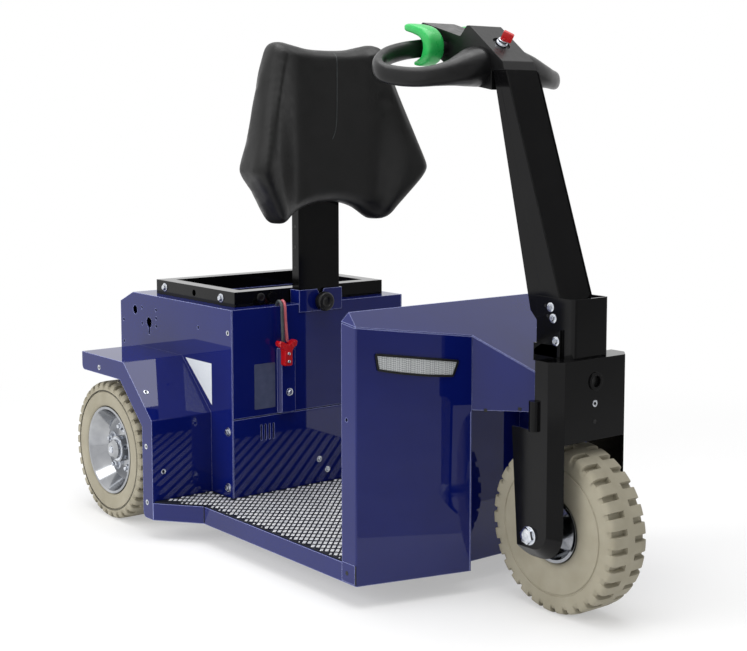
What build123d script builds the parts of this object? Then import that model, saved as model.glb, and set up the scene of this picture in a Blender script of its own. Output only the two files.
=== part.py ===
"""Stand-on three-wheeled electric tow tug, in millimetres.

+X points forward, +Y to the rider's left and +Z up. The origin is on the floor, under the middle of
the whole machine. A reach or setback along X is measured from the nearer axle.
"""

import os
from math import atan2, cos, degrees, radians, sin, tan

from build123d import *

os.makedirs("parts", exist_ok=True)

# Sheet stock and general clearances
sheet = 3.0
plate = 6.0
bend_radius = 5.0
corner_radius = 14.0
slide_clearance = 0.5
running_clearance = 0.05
soft_clearance = 0.3

# Wheels
wheelbase = 1312.0
tyre_radius = 190.0
rear_tyre_width = 112.0
front_tyre_width = 108.0
rear_tyre_outer_y = 455.0
tyre_shoulder = 8.0
rear_lugs = 36
front_lugs = 30
groove_width = 11.0
groove_depth = 12.0
rear_groove_reach = 26.0
front_groove_reach = 42.0
rear_rim_radius = 120.0
front_rim_radius = 74.0
rim_wall = 5.0
rim_lip_width = 7.0
rim_setback = 3.0
rear_dish_radius = 88.0
front_dish_radius = 54.0
rear_dish_depth = 46.0
front_dish_depth = 44.0
hub_radius = 36.0
hub_length = 22.0
front_hub_radius = 26.0
hub_cap_radius = 27.0
hub_cap_length = 17.0
hub_cap_dome = 8.0

# Overall reach behind the rear axle, which sets where the machine's middle is
hitch_reach = 300.0

# Platform
floor_height = 103.0
tread_thickness = 4.0
sill_bottom = 54.0
platform_half_width = 381.0
sill_turn_reach = 380.5

# Ladder frame under the platform
rail_height = 40.0
rail_width = 60.0
rail_half_spacing = 200.0
rail_wall = 3.0
cross_width = 40.0
drive_opening_length = 320.0
drive_opening_half_width = 150.0

# Rear box
box_front_reach = 373.0
box_rear_reach = 226.0
box_half_width = 286.0
box_top = 603.0
box_chamfer_reach = 151.0
box_chamfer_drop = 32.0
front_seam_height = 314.0
front_seam_gap = 3.0
axle_slot_radius = 46.0
louvre_count = 4
louvre_pitch = 13.0
louvre_width = 5.0
louvre_height = 43.0
louvre_first_y = -195.0
louvre_drop = 46.0

# Holes in the box sides: a gland hole, a keyhole and small fixing holes
gland_hole_reach = 140.0
gland_hole_drop = 50.0
gland_hole_radius = 13.0
keyhole_reach = 60.0
keyhole_drop = 79.0
keyhole_radius = 15.0
keyhole_slot_width = 9.0
keyhole_slot_length = 34.0
fixing_hole_radius = 4.5
fixing_drop = 63.0
fixing_spread = 40.0
fixing_rise = 23.0
fixing_front_reach = 207.0
fixing_rear_reach = 209.0
fixing_rear_drop = 86.0

# Fenders
fender_half_width = 467.5
fender_top = 453.0
fender_rear_reach = 117.0
fender_fold_reach = 121.0
fender_front_reach = 269.0
fender_slant_drop = 136.0
fender_flange = 50.0

# Battery and drive
battery_post_gap = 18.0
battery_rear_gap = 93.0
battery_side_gap = 48.0
battery_height = 240.0
battery_corner = 8.0
shelf_drop = 285.0
axle_tube_radius = 32.0
axle_seat_width = 60.0
gearcase_radius = 85.0
gearcase_width = 150.0
motor_radius = 70.0
motor_length = 190.0
spindle_radius = 22.0
spindle_length = 86.0

# Top frame over the battery opening
frame_rear_reach = 80.0
frame_front_reach = 330.0
frame_half_width = 248.0
frame_bar = 40.0
frame_height = 40.0
frame_wall = 4.0
frame_hole_radius = 9.0
frame_boss_radius = 14.0
frame_boss_depth = 6.0
frame_boss_y = -129.0
opening_margin = 6.0

# Lean-on backrest
post_width = 135.0
post_depth = 30.0
post_wall = 3.0
post_gap = 2.0
post_below_box_top = 273.0
post_above_box_top = 477.0
sleeve_below_box_top = 23.0
sleeve_above_box_top = 37.0
sleeve_notch_half = 12.0
sleeve_notch_depth = 22.0
knob_radius = 26.0
knob_depth = 22.0
knob_rounding = 5.0
knob_above_box_top = 4.0
knob_standoff = 8.0
screw_radius = 6.0
pad_top_half = 165.0
pad_above_post = 200.0
pad_dip = 8.0
pad_wide_half = 268.0
pad_wide_drop = 110.0
pad_lobe_half = 182.0
pad_lobe_drop = 237.0
pad_arch_drop = 198.0
pad_thickness = 62.0
pad_hollow_half = 120.0
pad_back_half = 200.0
pad_back_lean = 32.0
pad_wing_reach = 137.0
pad_rim = 22.0
pad_rounding = 30.0

# Battery connector on the box front
bracket_left_y = -87.0
bracket_right_y = -144.0
bracket_depth = 14.0
bracket_top_drop = 113.0
bracket_gap = 2.0
connector_height = 65.0
connector_overlap = 45.0
connector_depth = 22.0
connector_offset = 13.0
connector_half_width = 13.0
connector_wing_half = 27.0
connector_wing_height = 13.0
connector_rounding = 4.0
cable_radius = 4.5
cable_spacing = 14.0
cable_rise = 20.0
cable_bend = 14.0
cable_hole_radius = 6.0
cable_setback = 12.0

# Dash, hood and neck
dash_rear_setback = 335.0
dash_front_setback = 282.0
prow_setback = 209.0
prow_half_width = 102.0
well_wall_setback = 263.5
well_corner_gap = 12.0
neck_front_setback = 66.0
neck_half_width = 42.0
neck_seam = 1.0
neck_lift = 44.0
neck_front_depth = 93.0
neck_rear_drop = 15.0
hood_slope = 0.488
hood_corner_width = 21.0
hood_corner_drop = 19.0
strip_hole_reach = 18.0
strip_hole_radius = 4.5
strip_hole_height = 429.0
sill_hole_height = 78.0

# Headlights, measured along the front panel from its outer edge and down from the hood's rear edge
lamp_outer_top = 44.0
lamp_inner_top = 255.0
lamp_outer_bottom = 51.0
lamp_inner_bottom = 240.0
lamp_drop_outer_top = 87.0
lamp_drop_inner_top = 116.0
lamp_drop_inner_bottom = 154.0
lamp_drop_outer_bottom = 127.0
lamp_bow = 4.0
lamp_corner = 5.0
lamp_border = 5.0
bezel_proud = 4.0
lens_proud = 2.5

# Steering
steer_setback = 12.0
kingpin_radius = 15.0
head_tube_radius = 38.0
head_block_half_width = 30.0
head_block_margin = 8.0
tyre_top_clearance = 20.0
fork_half_width = 120.0
fork_chamfer = 26.0
fork_front_reach = 78.0
fork_leg_rear_setback = 58.0
fork_leg_lean = 22.0
fork_neck_reach = 13.0
fork_step = 25.0
fork_top_rise = 43.0
fork_crown = 8.0
fork_leg_drop = 54.0
fork_leg_round = 68.0
fork_heel_round = 26.0
fork_gland_radius = 20.0
fork_gland_bore = 13.0
fork_gland_proud = 3.0
fork_gland_drop = 50.0
axle_bolt_radius = 10.0
nut_radius = 16.0
nut_height = 11.0
stop_radius = 13.0
stop_height = 66.0
bearing_gap = 0.5

# Steering column
column_half_width = 49.0
column_lift = 12.0
column_height = 615.0
column_bottom_front_reach = 55.0
column_bottom_rear_setback = 56.0
column_top_front_setback = 162.0
column_top_rear_setback = 203.0
seam_bottom_reach = 14.0
seam_top_setback = 192.0
cover_lift = 56.0
cover_heel = 27.0
column_bracket_height = 130.0
column_bracket_front_reach = 64.0
column_bracket_rear_setback = 50.0
bracket_plate = 5.0
bracket_bend = 10.0
gusset_length = 79.0
gusset_height = 61.0
gusset_low_end = 12.0
gusset_width = 7.0

# Tiller head, measured from the top of the column and from the front axle
head_half_width = 49.0
head_lip_setback = 166.0
head_nose_setback = 174.0
head_nose_rise = 20.0
head_crest_front_setback = 284.0
head_crest_rear_setback = 294.0
head_crest_rise = 104.0
head_dip_setback = 316.0
head_dip_drop = 23.0
head_tail_setback = 456.0
head_tail_rise = 17.0
head_tail_depth = 30.0
head_heel_setback = 382.0
head_heel_rise = 28.0
head_belly_setback = 296.0
head_belly_drop = 29.0
head_chin_drop = 44.0
head_back_gap = 6.0
head_rounding = 6.0
key_recess_radius = 22.0
key_recess_depth = 5.0
key_radius = 12.0
key_collar = 6.0
key_blade_width = 6.0
key_blade_length = 19.0
key_blade_height = 18.0
key_rounding = 1.0
button_half_width = 35.0
button_height = 20.0
button_depth = 12.0
button_rounding = 6.0

# Loop grips: half sizes of the section, then setback, half spacing and rise of each corner of the loop
grip_half_height = 21.0
grip_half_width = 15.0
grip_bend = 48.0
root_half_height = 44.0
root_half_width = 22.0
root_setback = 206.0
root_rise = 14.0
grip_start_setback = 248.0
grip_start_y = 182.0
grip_start_drop = 11.0
grip_corner_setback = 272.0
grip_corner_y = 228.0
grip_corner_drop = 15.0
grip_end_setback = 350.0
grip_end_y = 280.0
grip_end_rise = 3.0
grip_rear_setback = 424.0
grip_rear_y = 172.0
grip_rear_rise = 42.0
grip_tail_setback = 402.0
grip_tail_rise = 57.0

# Butterfly throttle
throttle_outer_y = 105.0
throttle_thickness = 14.0
throttle_bend = 26.0
throttle_front_setback = 345.0
throttle_upper_reach = 120.0
throttle_lower_reach = 85.0
throttle_top_rise = 112.0
throttle_bottom_rise = 9.0

# Tow hitch
hitch_plate = 8.0
hitch_plate_half_width = 60.0
hitch_middle_height = 265.0
hitch_plate_height = 150.0
hitch_gap = 50.0
hitch_lug = 12.0
hitch_lug_half_width = 35.0
hitch_bore_radius = 13.0
hitch_bore_setback = 35.0

# Stations along X
rear_x = -(wheelbase + tyre_radius - hitch_reach) / 2
front_x = rear_x + wheelbase
sill_turn_x = rear_x + sill_turn_reach
box_front_x = rear_x + box_front_reach
box_rear_x = rear_x - box_rear_reach
box_chamfer_x = rear_x - box_chamfer_reach
fender_rear_x = rear_x - fender_rear_reach
fender_fold_x = rear_x + fender_fold_reach
fender_front_x = rear_x + fender_front_reach
frame_rear_x = rear_x - frame_rear_reach
frame_front_x = rear_x + frame_front_reach
frame_middle_x = (frame_rear_x + frame_front_x) / 2
top_front_x = box_front_x - sheet
post_front_x = top_front_x - post_gap
post_rear_x = post_front_x - post_depth
battery_front_x = post_rear_x - battery_post_gap
battery_rear_x = box_rear_x + sheet + battery_rear_gap
battery_middle_x = (battery_front_x + battery_rear_x) / 2
dash_rear_x = front_x - dash_rear_setback
dash_front_x = front_x - dash_front_setback
prow_x = front_x - prow_setback
well_wall_x = front_x - well_wall_setback
neck_front_x = front_x - neck_front_setback
steer_x = front_x - steer_setback
fork_front_x = front_x + fork_front_reach
fork_leg_rear_x = front_x - fork_leg_rear_setback
fork_neck_rear_x = front_x + fork_neck_reach

# Heights
tray_top = floor_height - tread_thickness
box_chamfer_bottom = box_top - box_chamfer_drop
shelf_height = box_top - shelf_drop
post_bottom = box_top - post_below_box_top
post_top = box_top + post_above_box_top
sleeve_bottom = box_top - sleeve_below_box_top
sleeve_top = box_top + sleeve_above_box_top
knob_height = box_top + knob_above_box_top
bracket_top = box_top - bracket_top_drop
bracket_bottom = front_seam_height + bracket_gap
connector_bottom = bracket_top - connector_overlap
connector_top = connector_bottom + connector_height
fender_slant_bottom = fender_top - fender_slant_drop
fork_window_height = 2 * tyre_radius + tyre_top_clearance
fork_step_height = fork_window_height + fork_step
neck_bottom_front = fork_window_height + neck_lift
neck_bottom_rear = neck_bottom_front - neck_rear_drop
hood_front_height = neck_bottom_front + neck_front_depth
hood_rear_height = hood_front_height + hood_slope * (neck_front_x - dash_rear_x)
fork_top = hood_front_height + fork_top_rise
column_bottom = fork_top + column_lift
column_top = column_bottom + column_height

# Other sizes that follow from the ones above
battery_length = battery_front_x - battery_rear_x
battery_half_width = box_half_width - sheet - battery_side_gap
dash_inner_y = platform_half_width - sheet
prow_angle = degrees(atan2(prow_x - dash_front_x, platform_half_width - prow_half_width))
well_corner_y = platform_half_width - (well_wall_x - dash_front_x) / tan(radians(prow_angle))
well_half_width = well_corner_y - well_corner_gap
hood_vertical = sheet * (1 + hood_slope ** 2) ** 0.5
fork_inner_half = fork_half_width - plate
rear_tyre_inner_y = rear_tyre_outer_y - rear_tyre_width
rear_middle_y = rear_tyre_outer_y - rear_tyre_width / 2
spindle_end_y = rear_tyre_inner_y + spindle_length


def hood_height(x):
    """Height of the hood's top face at a station."""
    return hood_front_height + hood_slope * (neck_front_x - x)


# Ladder frame: two box-section rails and three cross tubes
rail_length = well_wall_x - sheet - box_rear_x - 2 * sheet
with BuildPart() as ladder_frame:
    with BuildSketch(Plane.YZ.offset(box_rear_x + sheet)):
        with Locations((-rail_half_spacing, tray_top - sheet - rail_height / 2),
                       (rail_half_spacing, tray_top - sheet - rail_height / 2)):
            Rectangle(rail_width, rail_height)
            Rectangle(rail_width - 2 * rail_wall, rail_height - 2 * rail_wall, mode=Mode.SUBTRACT)
    extrude(amount=rail_length)
    with BuildSketch(Plane.XY.offset(tray_top - sheet - rail_height)):
        for station in (box_rear_x + sheet, fender_front_x + sheet, dash_rear_x - cross_width):
            with Locations((station + cross_width / 2, 0)):
                Rectangle(cross_width, 2 * (rail_half_spacing - rail_width / 2))
    extrude(amount=rail_height)

# Platform tray: a sheet with sills turned down along its edges and an opening under the drive unit
with BuildPart() as platform_tray:
    with BuildSketch(Plane.XY.offset(tray_top)):
        with BuildLine():
            Polyline(
                (box_rear_x, 0),
                (box_rear_x, -box_half_width),
                (fender_front_x, -box_half_width),
                (fender_front_x, -fender_half_width),
                (sill_turn_x, -platform_half_width),
                (dash_rear_x, -platform_half_width),
                (dash_rear_x, -dash_inner_y),
                (dash_front_x - sheet, -dash_inner_y),
                (well_wall_x - sheet, -well_half_width),
                (well_wall_x - sheet, 0),
            )
            mirror(about=Plane.XZ)
        make_face()
        with Locations((rear_x, 0)):
            Rectangle(drive_opening_length, 2 * drive_opening_half_width, mode=Mode.SUBTRACT)
    extrude(amount=-sheet)
    with BuildSketch(Plane.XY.offset(tray_top)):
        with BuildLine():
            Polyline(
                (dash_rear_x, -platform_half_width),
                (sill_turn_x, -platform_half_width),
                (fender_front_x, -fender_half_width),
                (fender_front_x, -box_half_width),
                (box_rear_x, -box_half_width),
                (box_rear_x, 0),
            )
            offset(amount=sheet, side=Side.RIGHT)
        make_face()
        mirror(about=Plane.XZ)
    extrude(amount=sill_bottom - tray_top)

# Tread plate laid on the tray round the foot of the box
with BuildPart() as tread_plate:
    with BuildSketch(Plane.XY.offset(tray_top)):
        with BuildLine():
            Polyline(
                (box_front_x, 0),
                (box_front_x, -box_half_width),
                (fender_front_x, -box_half_width),
                (fender_front_x, -fender_half_width + 2 * sheet),
                (sill_turn_x - sheet, -dash_inner_y),
                (dash_rear_x, -dash_inner_y),
                (dash_rear_x, 0),
            )
            mirror(about=Plane.XZ)
        make_face()
    extrude(amount=tread_thickness)

# Box side panel, with its holes and the slot that lets it drop over the axle
gland_x = rear_x - gland_hole_reach
keyhole_x = rear_x - keyhole_reach
keyhole_height = box_top - keyhole_drop
fixing_row = box_top - fixing_drop
fixing_points = (
    (keyhole_x - fixing_spread, fixing_row - fixing_rise),
    (keyhole_x - fixing_spread, fixing_row + fixing_rise),
    (keyhole_x + fixing_spread, fixing_row - fixing_rise),
    (keyhole_x + fixing_spread, fixing_row),
    (keyhole_x + fixing_spread, fixing_row + fixing_rise),
    (rear_x + fixing_front_reach, fixing_row),
    (rear_x - fixing_rear_reach, fixing_row - fixing_rise),
    (rear_x - fixing_rear_reach, fixing_row - fixing_rear_drop),
)
with BuildPart() as box_side_right:
    with BuildSketch(Plane.XZ.offset(box_half_width)):
        with BuildLine():
            Polyline(
                (box_rear_x, tray_top),
                (box_front_x, tray_top),
                (box_front_x, box_top),
                (box_chamfer_x, box_top),
                (box_rear_x, box_chamfer_bottom),
                close=True,
            )
        make_face()
        with Locations((rear_x, tyre_radius)):
            Circle(axle_slot_radius, mode=Mode.SUBTRACT)
        with Locations((rear_x, (tray_top + tyre_radius) / 2)):
            Rectangle(2 * axle_slot_radius, tyre_radius - tray_top, mode=Mode.SUBTRACT)
        with Locations((gland_x, box_top - gland_hole_drop)):
            Circle(gland_hole_radius, mode=Mode.SUBTRACT)
        with Locations((keyhole_x, keyhole_height)):
            Circle(keyhole_radius, mode=Mode.SUBTRACT)
            Rectangle(
                keyhole_slot_width,
                keyhole_slot_length,
                align=(Align.CENTER, Align.MAX),
                mode=Mode.SUBTRACT,
            )
        with Locations(*fixing_points):
            Circle(fixing_hole_radius, mode=Mode.SUBTRACT)
    extrude(amount=-sheet)

with BuildPart() as box_side_left:
    mirror(box_side_right.part, about=Plane.XZ)

# Upper and lower front panels of the box, between the side panels
front_panel_width = 2 * (box_half_width - sheet)
lower_top = front_seam_height - front_seam_gap
with BuildPart() as box_front_upper:
    with BuildSketch(Plane.YZ.offset(box_front_x)):
        with Locations((0, (front_seam_height + box_top) / 2)):
            Rectangle(front_panel_width, box_top - front_seam_height)
        with Locations((0, knob_height)):
            Circle(screw_radius + slide_clearance, mode=Mode.SUBTRACT)
    extrude(amount=-sheet)

with BuildPart() as box_front_lower:
    with BuildSketch(Plane.YZ.offset(box_front_x)):
        with Locations((0, (tray_top + lower_top) / 2)):
            Rectangle(front_panel_width, lower_top - tray_top)
        for number in range(louvre_count):
            with Locations((louvre_first_y + number * louvre_pitch, front_seam_height - louvre_drop)):
                SlotOverall(louvre_height, louvre_width, rotation=90, mode=Mode.SUBTRACT)
    extrude(amount=-sheet)

# Rear panel with its sloping top edge
with BuildPart() as box_rear_panel:
    with BuildSketch(Plane.XZ.offset(box_half_width - sheet)):
        with BuildLine():
            Polyline(
                (box_rear_x, tray_top),
                (box_rear_x, box_chamfer_bottom),
                (box_chamfer_x, box_top),
            )
            offset(amount=sheet, side=Side.RIGHT)
        make_face()
    extrude(amount=-front_panel_width)

# Top plate with the battery opening, the notch for the backrest post and the cable holes
cable_y = (bracket_left_y + bracket_right_y) / 2 - connector_offset
cable_ys = (cable_y - cable_spacing / 2, cable_y + cable_spacing / 2)
with BuildPart() as box_top_plate:
    with BuildSketch(Plane.XY.offset(box_top)):
        with Locations(((box_chamfer_x + box_front_x) / 2, 0)):
            Rectangle(box_front_x - box_chamfer_x - 2 * sheet, front_panel_width)
        with Locations((frame_middle_x, 0)):
            Rectangle(
                frame_front_x - frame_rear_x - 2 * (frame_bar + opening_margin),
                2 * (frame_half_width - frame_bar - opening_margin),
                mode=Mode.SUBTRACT,
            )
        with Locations((post_rear_x - slide_clearance, 0)):
            Rectangle(
                top_front_x - post_rear_x + slide_clearance,
                post_width + 2 * slide_clearance,
                align=(Align.MIN, Align.CENTER),
                mode=Mode.SUBTRACT,
            )
        with Locations(*[(top_front_x - cable_setback, y) for y in cable_ys]):
            Circle(cable_hole_radius, mode=Mode.SUBTRACT)
    extrude(amount=-sheet)

# Black frame round the battery opening: a channel section, open below, with a grip hole in each side
frame_middle_height = box_top + frame_height / 2
with BuildPart() as top_frame:
    with BuildSketch(Plane.XY.offset(box_top)):
        with Locations((frame_middle_x, 0)):
            Rectangle(frame_front_x - frame_rear_x, 2 * frame_half_width)
            Rectangle(
                frame_front_x - frame_rear_x - 2 * frame_bar,
                2 * (frame_half_width - frame_bar),
                mode=Mode.SUBTRACT,
            )
    extrude(amount=frame_height)
    offset(amount=-frame_wall, openings=top_frame.faces().sort_by(Axis.Z)[0])
    with BuildSketch(Plane.YZ.offset(frame_front_x)):
        with Locations((frame_boss_y, frame_middle_height)):
            Circle(frame_boss_radius)
    extrude(amount=frame_boss_depth)
    for side_plane in (Plane.XZ.offset(frame_half_width), Plane.XZ.offset(frame_wall - frame_half_width)):
        with BuildSketch(side_plane):
            with Locations((frame_middle_x, frame_middle_height)):
                Circle(frame_hole_radius)
        extrude(amount=-frame_wall, mode=Mode.SUBTRACT)

# Battery on its shelf inside the box
with BuildPart() as battery_shelf:
    with BuildSketch(Plane.XY.offset(shelf_height)):
        with Locations((battery_middle_x, 0)):
            Rectangle(battery_length, front_panel_width)
    extrude(amount=-sheet)

with BuildPart() as battery_block:
    with BuildSketch(Plane.XY.offset(shelf_height)):
        with Locations((battery_middle_x, 0)):
            RectangleRounded(battery_length, 2 * battery_half_width, battery_corner)
    extrude(amount=battery_height)

# Drive axle: gear case, motor, axle tube on two seats, and the spindles that carry the wheels
with BuildPart() as drive_axle:
    with BuildSketch(Plane.XZ.offset(-gearcase_width / 2)):
        with Locations((rear_x, tyre_radius)):
            Circle(gearcase_radius)
    extrude(amount=gearcase_width)
    with BuildSketch(Plane.XZ.offset(-rear_tyre_inner_y + bearing_gap)):
        with Locations((rear_x, tyre_radius)):
            Circle(axle_tube_radius)
    extrude(amount=2 * (rear_tyre_inner_y - bearing_gap))
    with BuildSketch(Plane.XZ.offset(-spindle_end_y)):
        with Locations((rear_x, tyre_radius)):
            Circle(spindle_radius)
    extrude(amount=2 * spindle_end_y)
    with BuildSketch(Plane.YZ.offset(rear_x)):
        with Locations((0, tyre_radius)):
            Circle(motor_radius)
    extrude(amount=gearcase_radius + motor_length / 2)
    with BuildSketch(Plane.XY.offset(tray_top)):
        with Locations((rear_x, -rail_half_spacing), (rear_x, rail_half_spacing)):
            Rectangle(2 * axle_tube_radius, axle_seat_width)
    extrude(amount=tyre_radius - tray_top)

# Fender: one folded sheet with an outer flange that follows its edge
with BuildPart() as fender_right:
    for depth, reach in ((sheet, fender_half_width - box_half_width), (fender_flange, sheet)):
        with BuildSketch(Plane.XZ.offset(fender_half_width)):
            with BuildLine():
                Polyline(
                    (fender_rear_x, fender_top),
                    (fender_fold_x, fender_top),
                    (fender_front_x, fender_slant_bottom),
                    (fender_front_x, sill_bottom),
                )
                offset(amount=depth, side=Side.RIGHT)
            make_face()
        extrude(amount=-reach)
    fold_edges = [
        fender_right.edges().filter_by(Axis.Y).sort_by_distance((x, -fender_half_width, z))[0]
        for x, z in ((fender_fold_x, fender_top), (fender_front_x, fender_slant_bottom))
    ]
    fillet(fold_edges, radius=bend_radius)
    flange_corners = [
        fender_right.edges().filter_by(Axis.Y).sort_by_distance((x, -fender_half_width, z))[0]
        for x, z in (
            (fender_rear_x, fender_top - fender_flange),
            (fender_front_x - fender_flange, sill_bottom),
        )
    ]
    fillet(flange_corners, radius=corner_radius)

with BuildPart() as fender_left:
    mirror(fender_right.part, about=Plane.XZ)

# Tow hitch: a back plate with two lugs and one bore through both
lug_end_x = rear_x - hitch_reach
lug_length = box_rear_x - lug_end_x - hitch_lug_half_width
with BuildPart() as tow_hitch:
    with BuildSketch(Plane.YZ.offset(box_rear_x)):
        with Locations((0, hitch_middle_height)):
            RectangleRounded(2 * hitch_plate_half_width, hitch_plate_height, hitch_plate)
    extrude(amount=-hitch_plate)
    for lug_bottom in (hitch_middle_height - hitch_gap / 2 - hitch_lug, hitch_middle_height + hitch_gap / 2):
        with BuildSketch(Plane.XY.offset(lug_bottom)):
            with Locations((box_rear_x - lug_length / 2, 0)):
                Rectangle(lug_length, 2 * hitch_lug_half_width)
            with Locations((lug_end_x + hitch_lug_half_width, 0)):
                Circle(hitch_lug_half_width)
        extrude(amount=hitch_lug)
    with Locations((lug_end_x + hitch_bore_setback, 0, hitch_middle_height)):
        Hole(hitch_bore_radius)

# Sleeve that guides the backrest post at the top of the box front, with a notch in its upper edge
sleeve_half = post_width / 2 + slide_clearance
sleeve_rear_x = post_rear_x - slide_clearance
with BuildPart() as post_sleeve:
    with BuildSketch(Plane.YZ.offset(box_front_x)):
        with Locations((0, (sleeve_bottom + sleeve_top) / 2)):
            Rectangle(2 * (sleeve_half + sheet), sleeve_top - sleeve_bottom)
        with Locations((0, knob_height)):
            Circle(screw_radius + slide_clearance, mode=Mode.SUBTRACT)
        with BuildLine():
            Polyline(
                (-sleeve_notch_half, sleeve_top),
                (0, sleeve_top - sleeve_notch_depth),
                (sleeve_notch_half, sleeve_top),
                close=True,
            )
        make_face(mode=Mode.SUBTRACT)
    extrude(amount=sheet)
    with BuildSketch(Plane.XY.offset(box_top)):
        with Locations((box_front_x, 0)):
            Rectangle(
                box_front_x - sleeve_rear_x + sheet,
                2 * (sleeve_half + sheet),
                align=(Align.MAX, Align.CENTER),
            )
            Rectangle(
                box_front_x - sleeve_rear_x,
                2 * sleeve_half,
                align=(Align.MAX, Align.CENTER),
                mode=Mode.SUBTRACT,
            )
    extrude(amount=sleeve_top - box_top)

# Clamp knob, whose screw reaches the post
knob_rear_x = box_front_x + sheet + knob_standoff
with BuildPart() as clamp_knob:
    with BuildSketch(Plane.YZ.offset(knob_rear_x)):
        with Locations((0, knob_height)):
            Circle(knob_radius)
    extrude(amount=knob_depth)
    fillet(clamp_knob.edges().filter_by(GeomType.CIRCLE).sort_by(Axis.X)[-1], radius=knob_rounding)
    with BuildSketch(Plane.YZ.offset(post_front_x + soft_clearance)):
        with Locations((0, knob_height)):
            Circle(screw_radius)
    extrude(amount=knob_rear_x - post_front_x - soft_clearance)

# Folded hat bracket and the T-shaped battery connector on it
with BuildPart() as connector_bracket:
    with BuildSketch(Plane.XY.offset(bracket_bottom)):
        with BuildLine():
            Polyline(
                (box_front_x, bracket_right_y),
                (box_front_x + bracket_depth, bracket_right_y + bracket_depth / 2),
                (box_front_x + bracket_depth, bracket_left_y - bracket_depth / 2),
                (box_front_x, bracket_left_y),
            )
            offset(amount=sheet, side=Side.LEFT)
        make_face()
    extrude(amount=bracket_top - bracket_bottom)
    split(bisect_by=Plane.YZ.offset(box_front_x), keep=Keep.TOP)

connector_rear_x = box_front_x + bracket_depth
with BuildPart() as battery_connector:
    with BuildSketch(Plane.YZ.offset(connector_rear_x)):
        with Locations((cable_y, (connector_bottom + connector_top) / 2)):
            RectangleRounded(2 * connector_half_width, connector_height, connector_rounding)
        with Locations((cable_y, connector_top - connector_wing_height / 2)):
            RectangleRounded(2 * connector_wing_half, connector_wing_height, connector_rounding)
    extrude(amount=connector_depth)

# Two battery cables: up through the top plate, over its front edge and down to the connector
cable_front_x = connector_rear_x + connector_depth / 2
with BuildPart() as battery_cables:
    for y in cable_ys:
        with BuildLine():
            FilletPolyline(
                (top_front_x - cable_setback, y, shelf_height + battery_height),
                (top_front_x - cable_setback, y, box_top + cable_rise),
                (cable_front_x, y, box_top + cable_rise),
                (cable_front_x, y, connector_top),
                radius=cable_bend,
            )
        with BuildSketch(Plane.XY.offset(shelf_height + battery_height)):
            with Locations((top_front_x - cable_setback, y)):
                Circle(cable_radius)
        sweep()

# Plane of the small three-cornered facet at the hood's right rear corner, and its inner face
facet_corners = (
    (dash_rear_x, -platform_half_width, hood_rear_height - hood_corner_drop),
    (dash_front_x, -platform_half_width, hood_height(dash_front_x)),
    (dash_rear_x, hood_corner_width - platform_half_width, hood_rear_height),
)
facet_face = Face(Wire.make_polygon([Vector(corner) for corner in facet_corners]))
facet_plane = Plane(facet_face)
facet_inner = facet_plane.offset(-sheet)

# Front panel: side strip, prow face and the return into the wheel well
with BuildPart() as front_panel_right:
    with BuildSketch(Plane.XY.offset(sill_bottom)):
        with BuildLine():
            FilletPolyline(
                (dash_rear_x, -platform_half_width),
                (dash_front_x, -platform_half_width),
                (prow_x, -prow_half_width),
                radius=bend_radius,
            )
            offset(amount=sheet, side=Side.LEFT)
        make_face()
    extrude(amount=hood_rear_height - sill_bottom)
    with BuildSketch(Plane.XY.offset(sill_bottom)):
        with Locations((prow_x, -prow_half_width)):
            Rectangle(prow_x - well_wall_x, sheet, align=(Align.MAX, Align.MAX))
    extrude(amount=neck_bottom_rear - sill_bottom)
    with BuildSketch(Plane.XZ.offset(platform_half_width)):
        with BuildLine():
            Polyline(
                (dash_rear_x, hood_rear_height - hood_vertical),
                (neck_front_x, hood_front_height - hood_vertical),
                (neck_front_x, hood_rear_height),
                (dash_rear_x, hood_rear_height),
                close=True,
            )
        make_face()
    extrude(amount=-platform_half_width, mode=Mode.SUBTRACT)
    split(bisect_by=facet_inner, keep=Keep.BOTTOM)
    with BuildSketch(Plane.XZ.offset(platform_half_width)):
        with Locations(*[(dash_rear_x + strip_hole_reach, z) for z in (strip_hole_height, sill_hole_height)]):
            Circle(strip_hole_radius)
    extrude(amount=-sheet, mode=Mode.SUBTRACT)

with BuildPart() as front_panel_left:
    mirror(front_panel_right.part, about=Plane.XZ)

# Hood: a sloping sheet over dash and neck, with a facet at each rear corner
with BuildPart() as hood:
    with BuildSketch(Plane.XZ.offset(platform_half_width)):
        with BuildLine():
            Polyline((dash_rear_x, hood_rear_height), (neck_front_x, hood_front_height))
            offset(amount=sheet, side=Side.RIGHT)
        make_face()
    extrude(amount=-2 * platform_half_width)
    with BuildSketch(Plane.XY):
        with BuildLine():
            Polyline(
                (dash_rear_x, 0),
                (dash_rear_x, -platform_half_width),
                (dash_front_x, -platform_half_width),
                (prow_x, -prow_half_width),
                (neck_front_x, -neck_half_width),
                (neck_front_x, 0),
            )
            mirror(about=Plane.XZ)
        make_face()
    extrude(amount=hood_rear_height + sheet, mode=Mode.INTERSECT)
    split(bisect_by=facet_plane, keep=Keep.BOTTOM)
    extrude(facet_face, amount=-sheet)
    split(bisect_by=Plane.XZ, keep=Keep.TOP)
    mirror(about=Plane.XZ)

# Rear wall of the dash, towards the rider's shins
wall_top = hood_height(dash_rear_x + sheet) - hood_vertical
with BuildPart() as dash_rear_wall:
    with BuildSketch(Plane.YZ.offset(dash_rear_x)):
        with BuildLine():
            Polyline(
                (0, tray_top),
                (-dash_inner_y, tray_top),
                (-dash_inner_y, wall_top - hood_corner_drop - sheet),
                (hood_corner_width - platform_half_width, wall_top - sheet),
                (2 * hood_corner_width - platform_half_width, wall_top),
                (0, wall_top),
            )
            mirror(about=Plane.YZ)
        make_face()
    extrude(amount=sheet)

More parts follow.
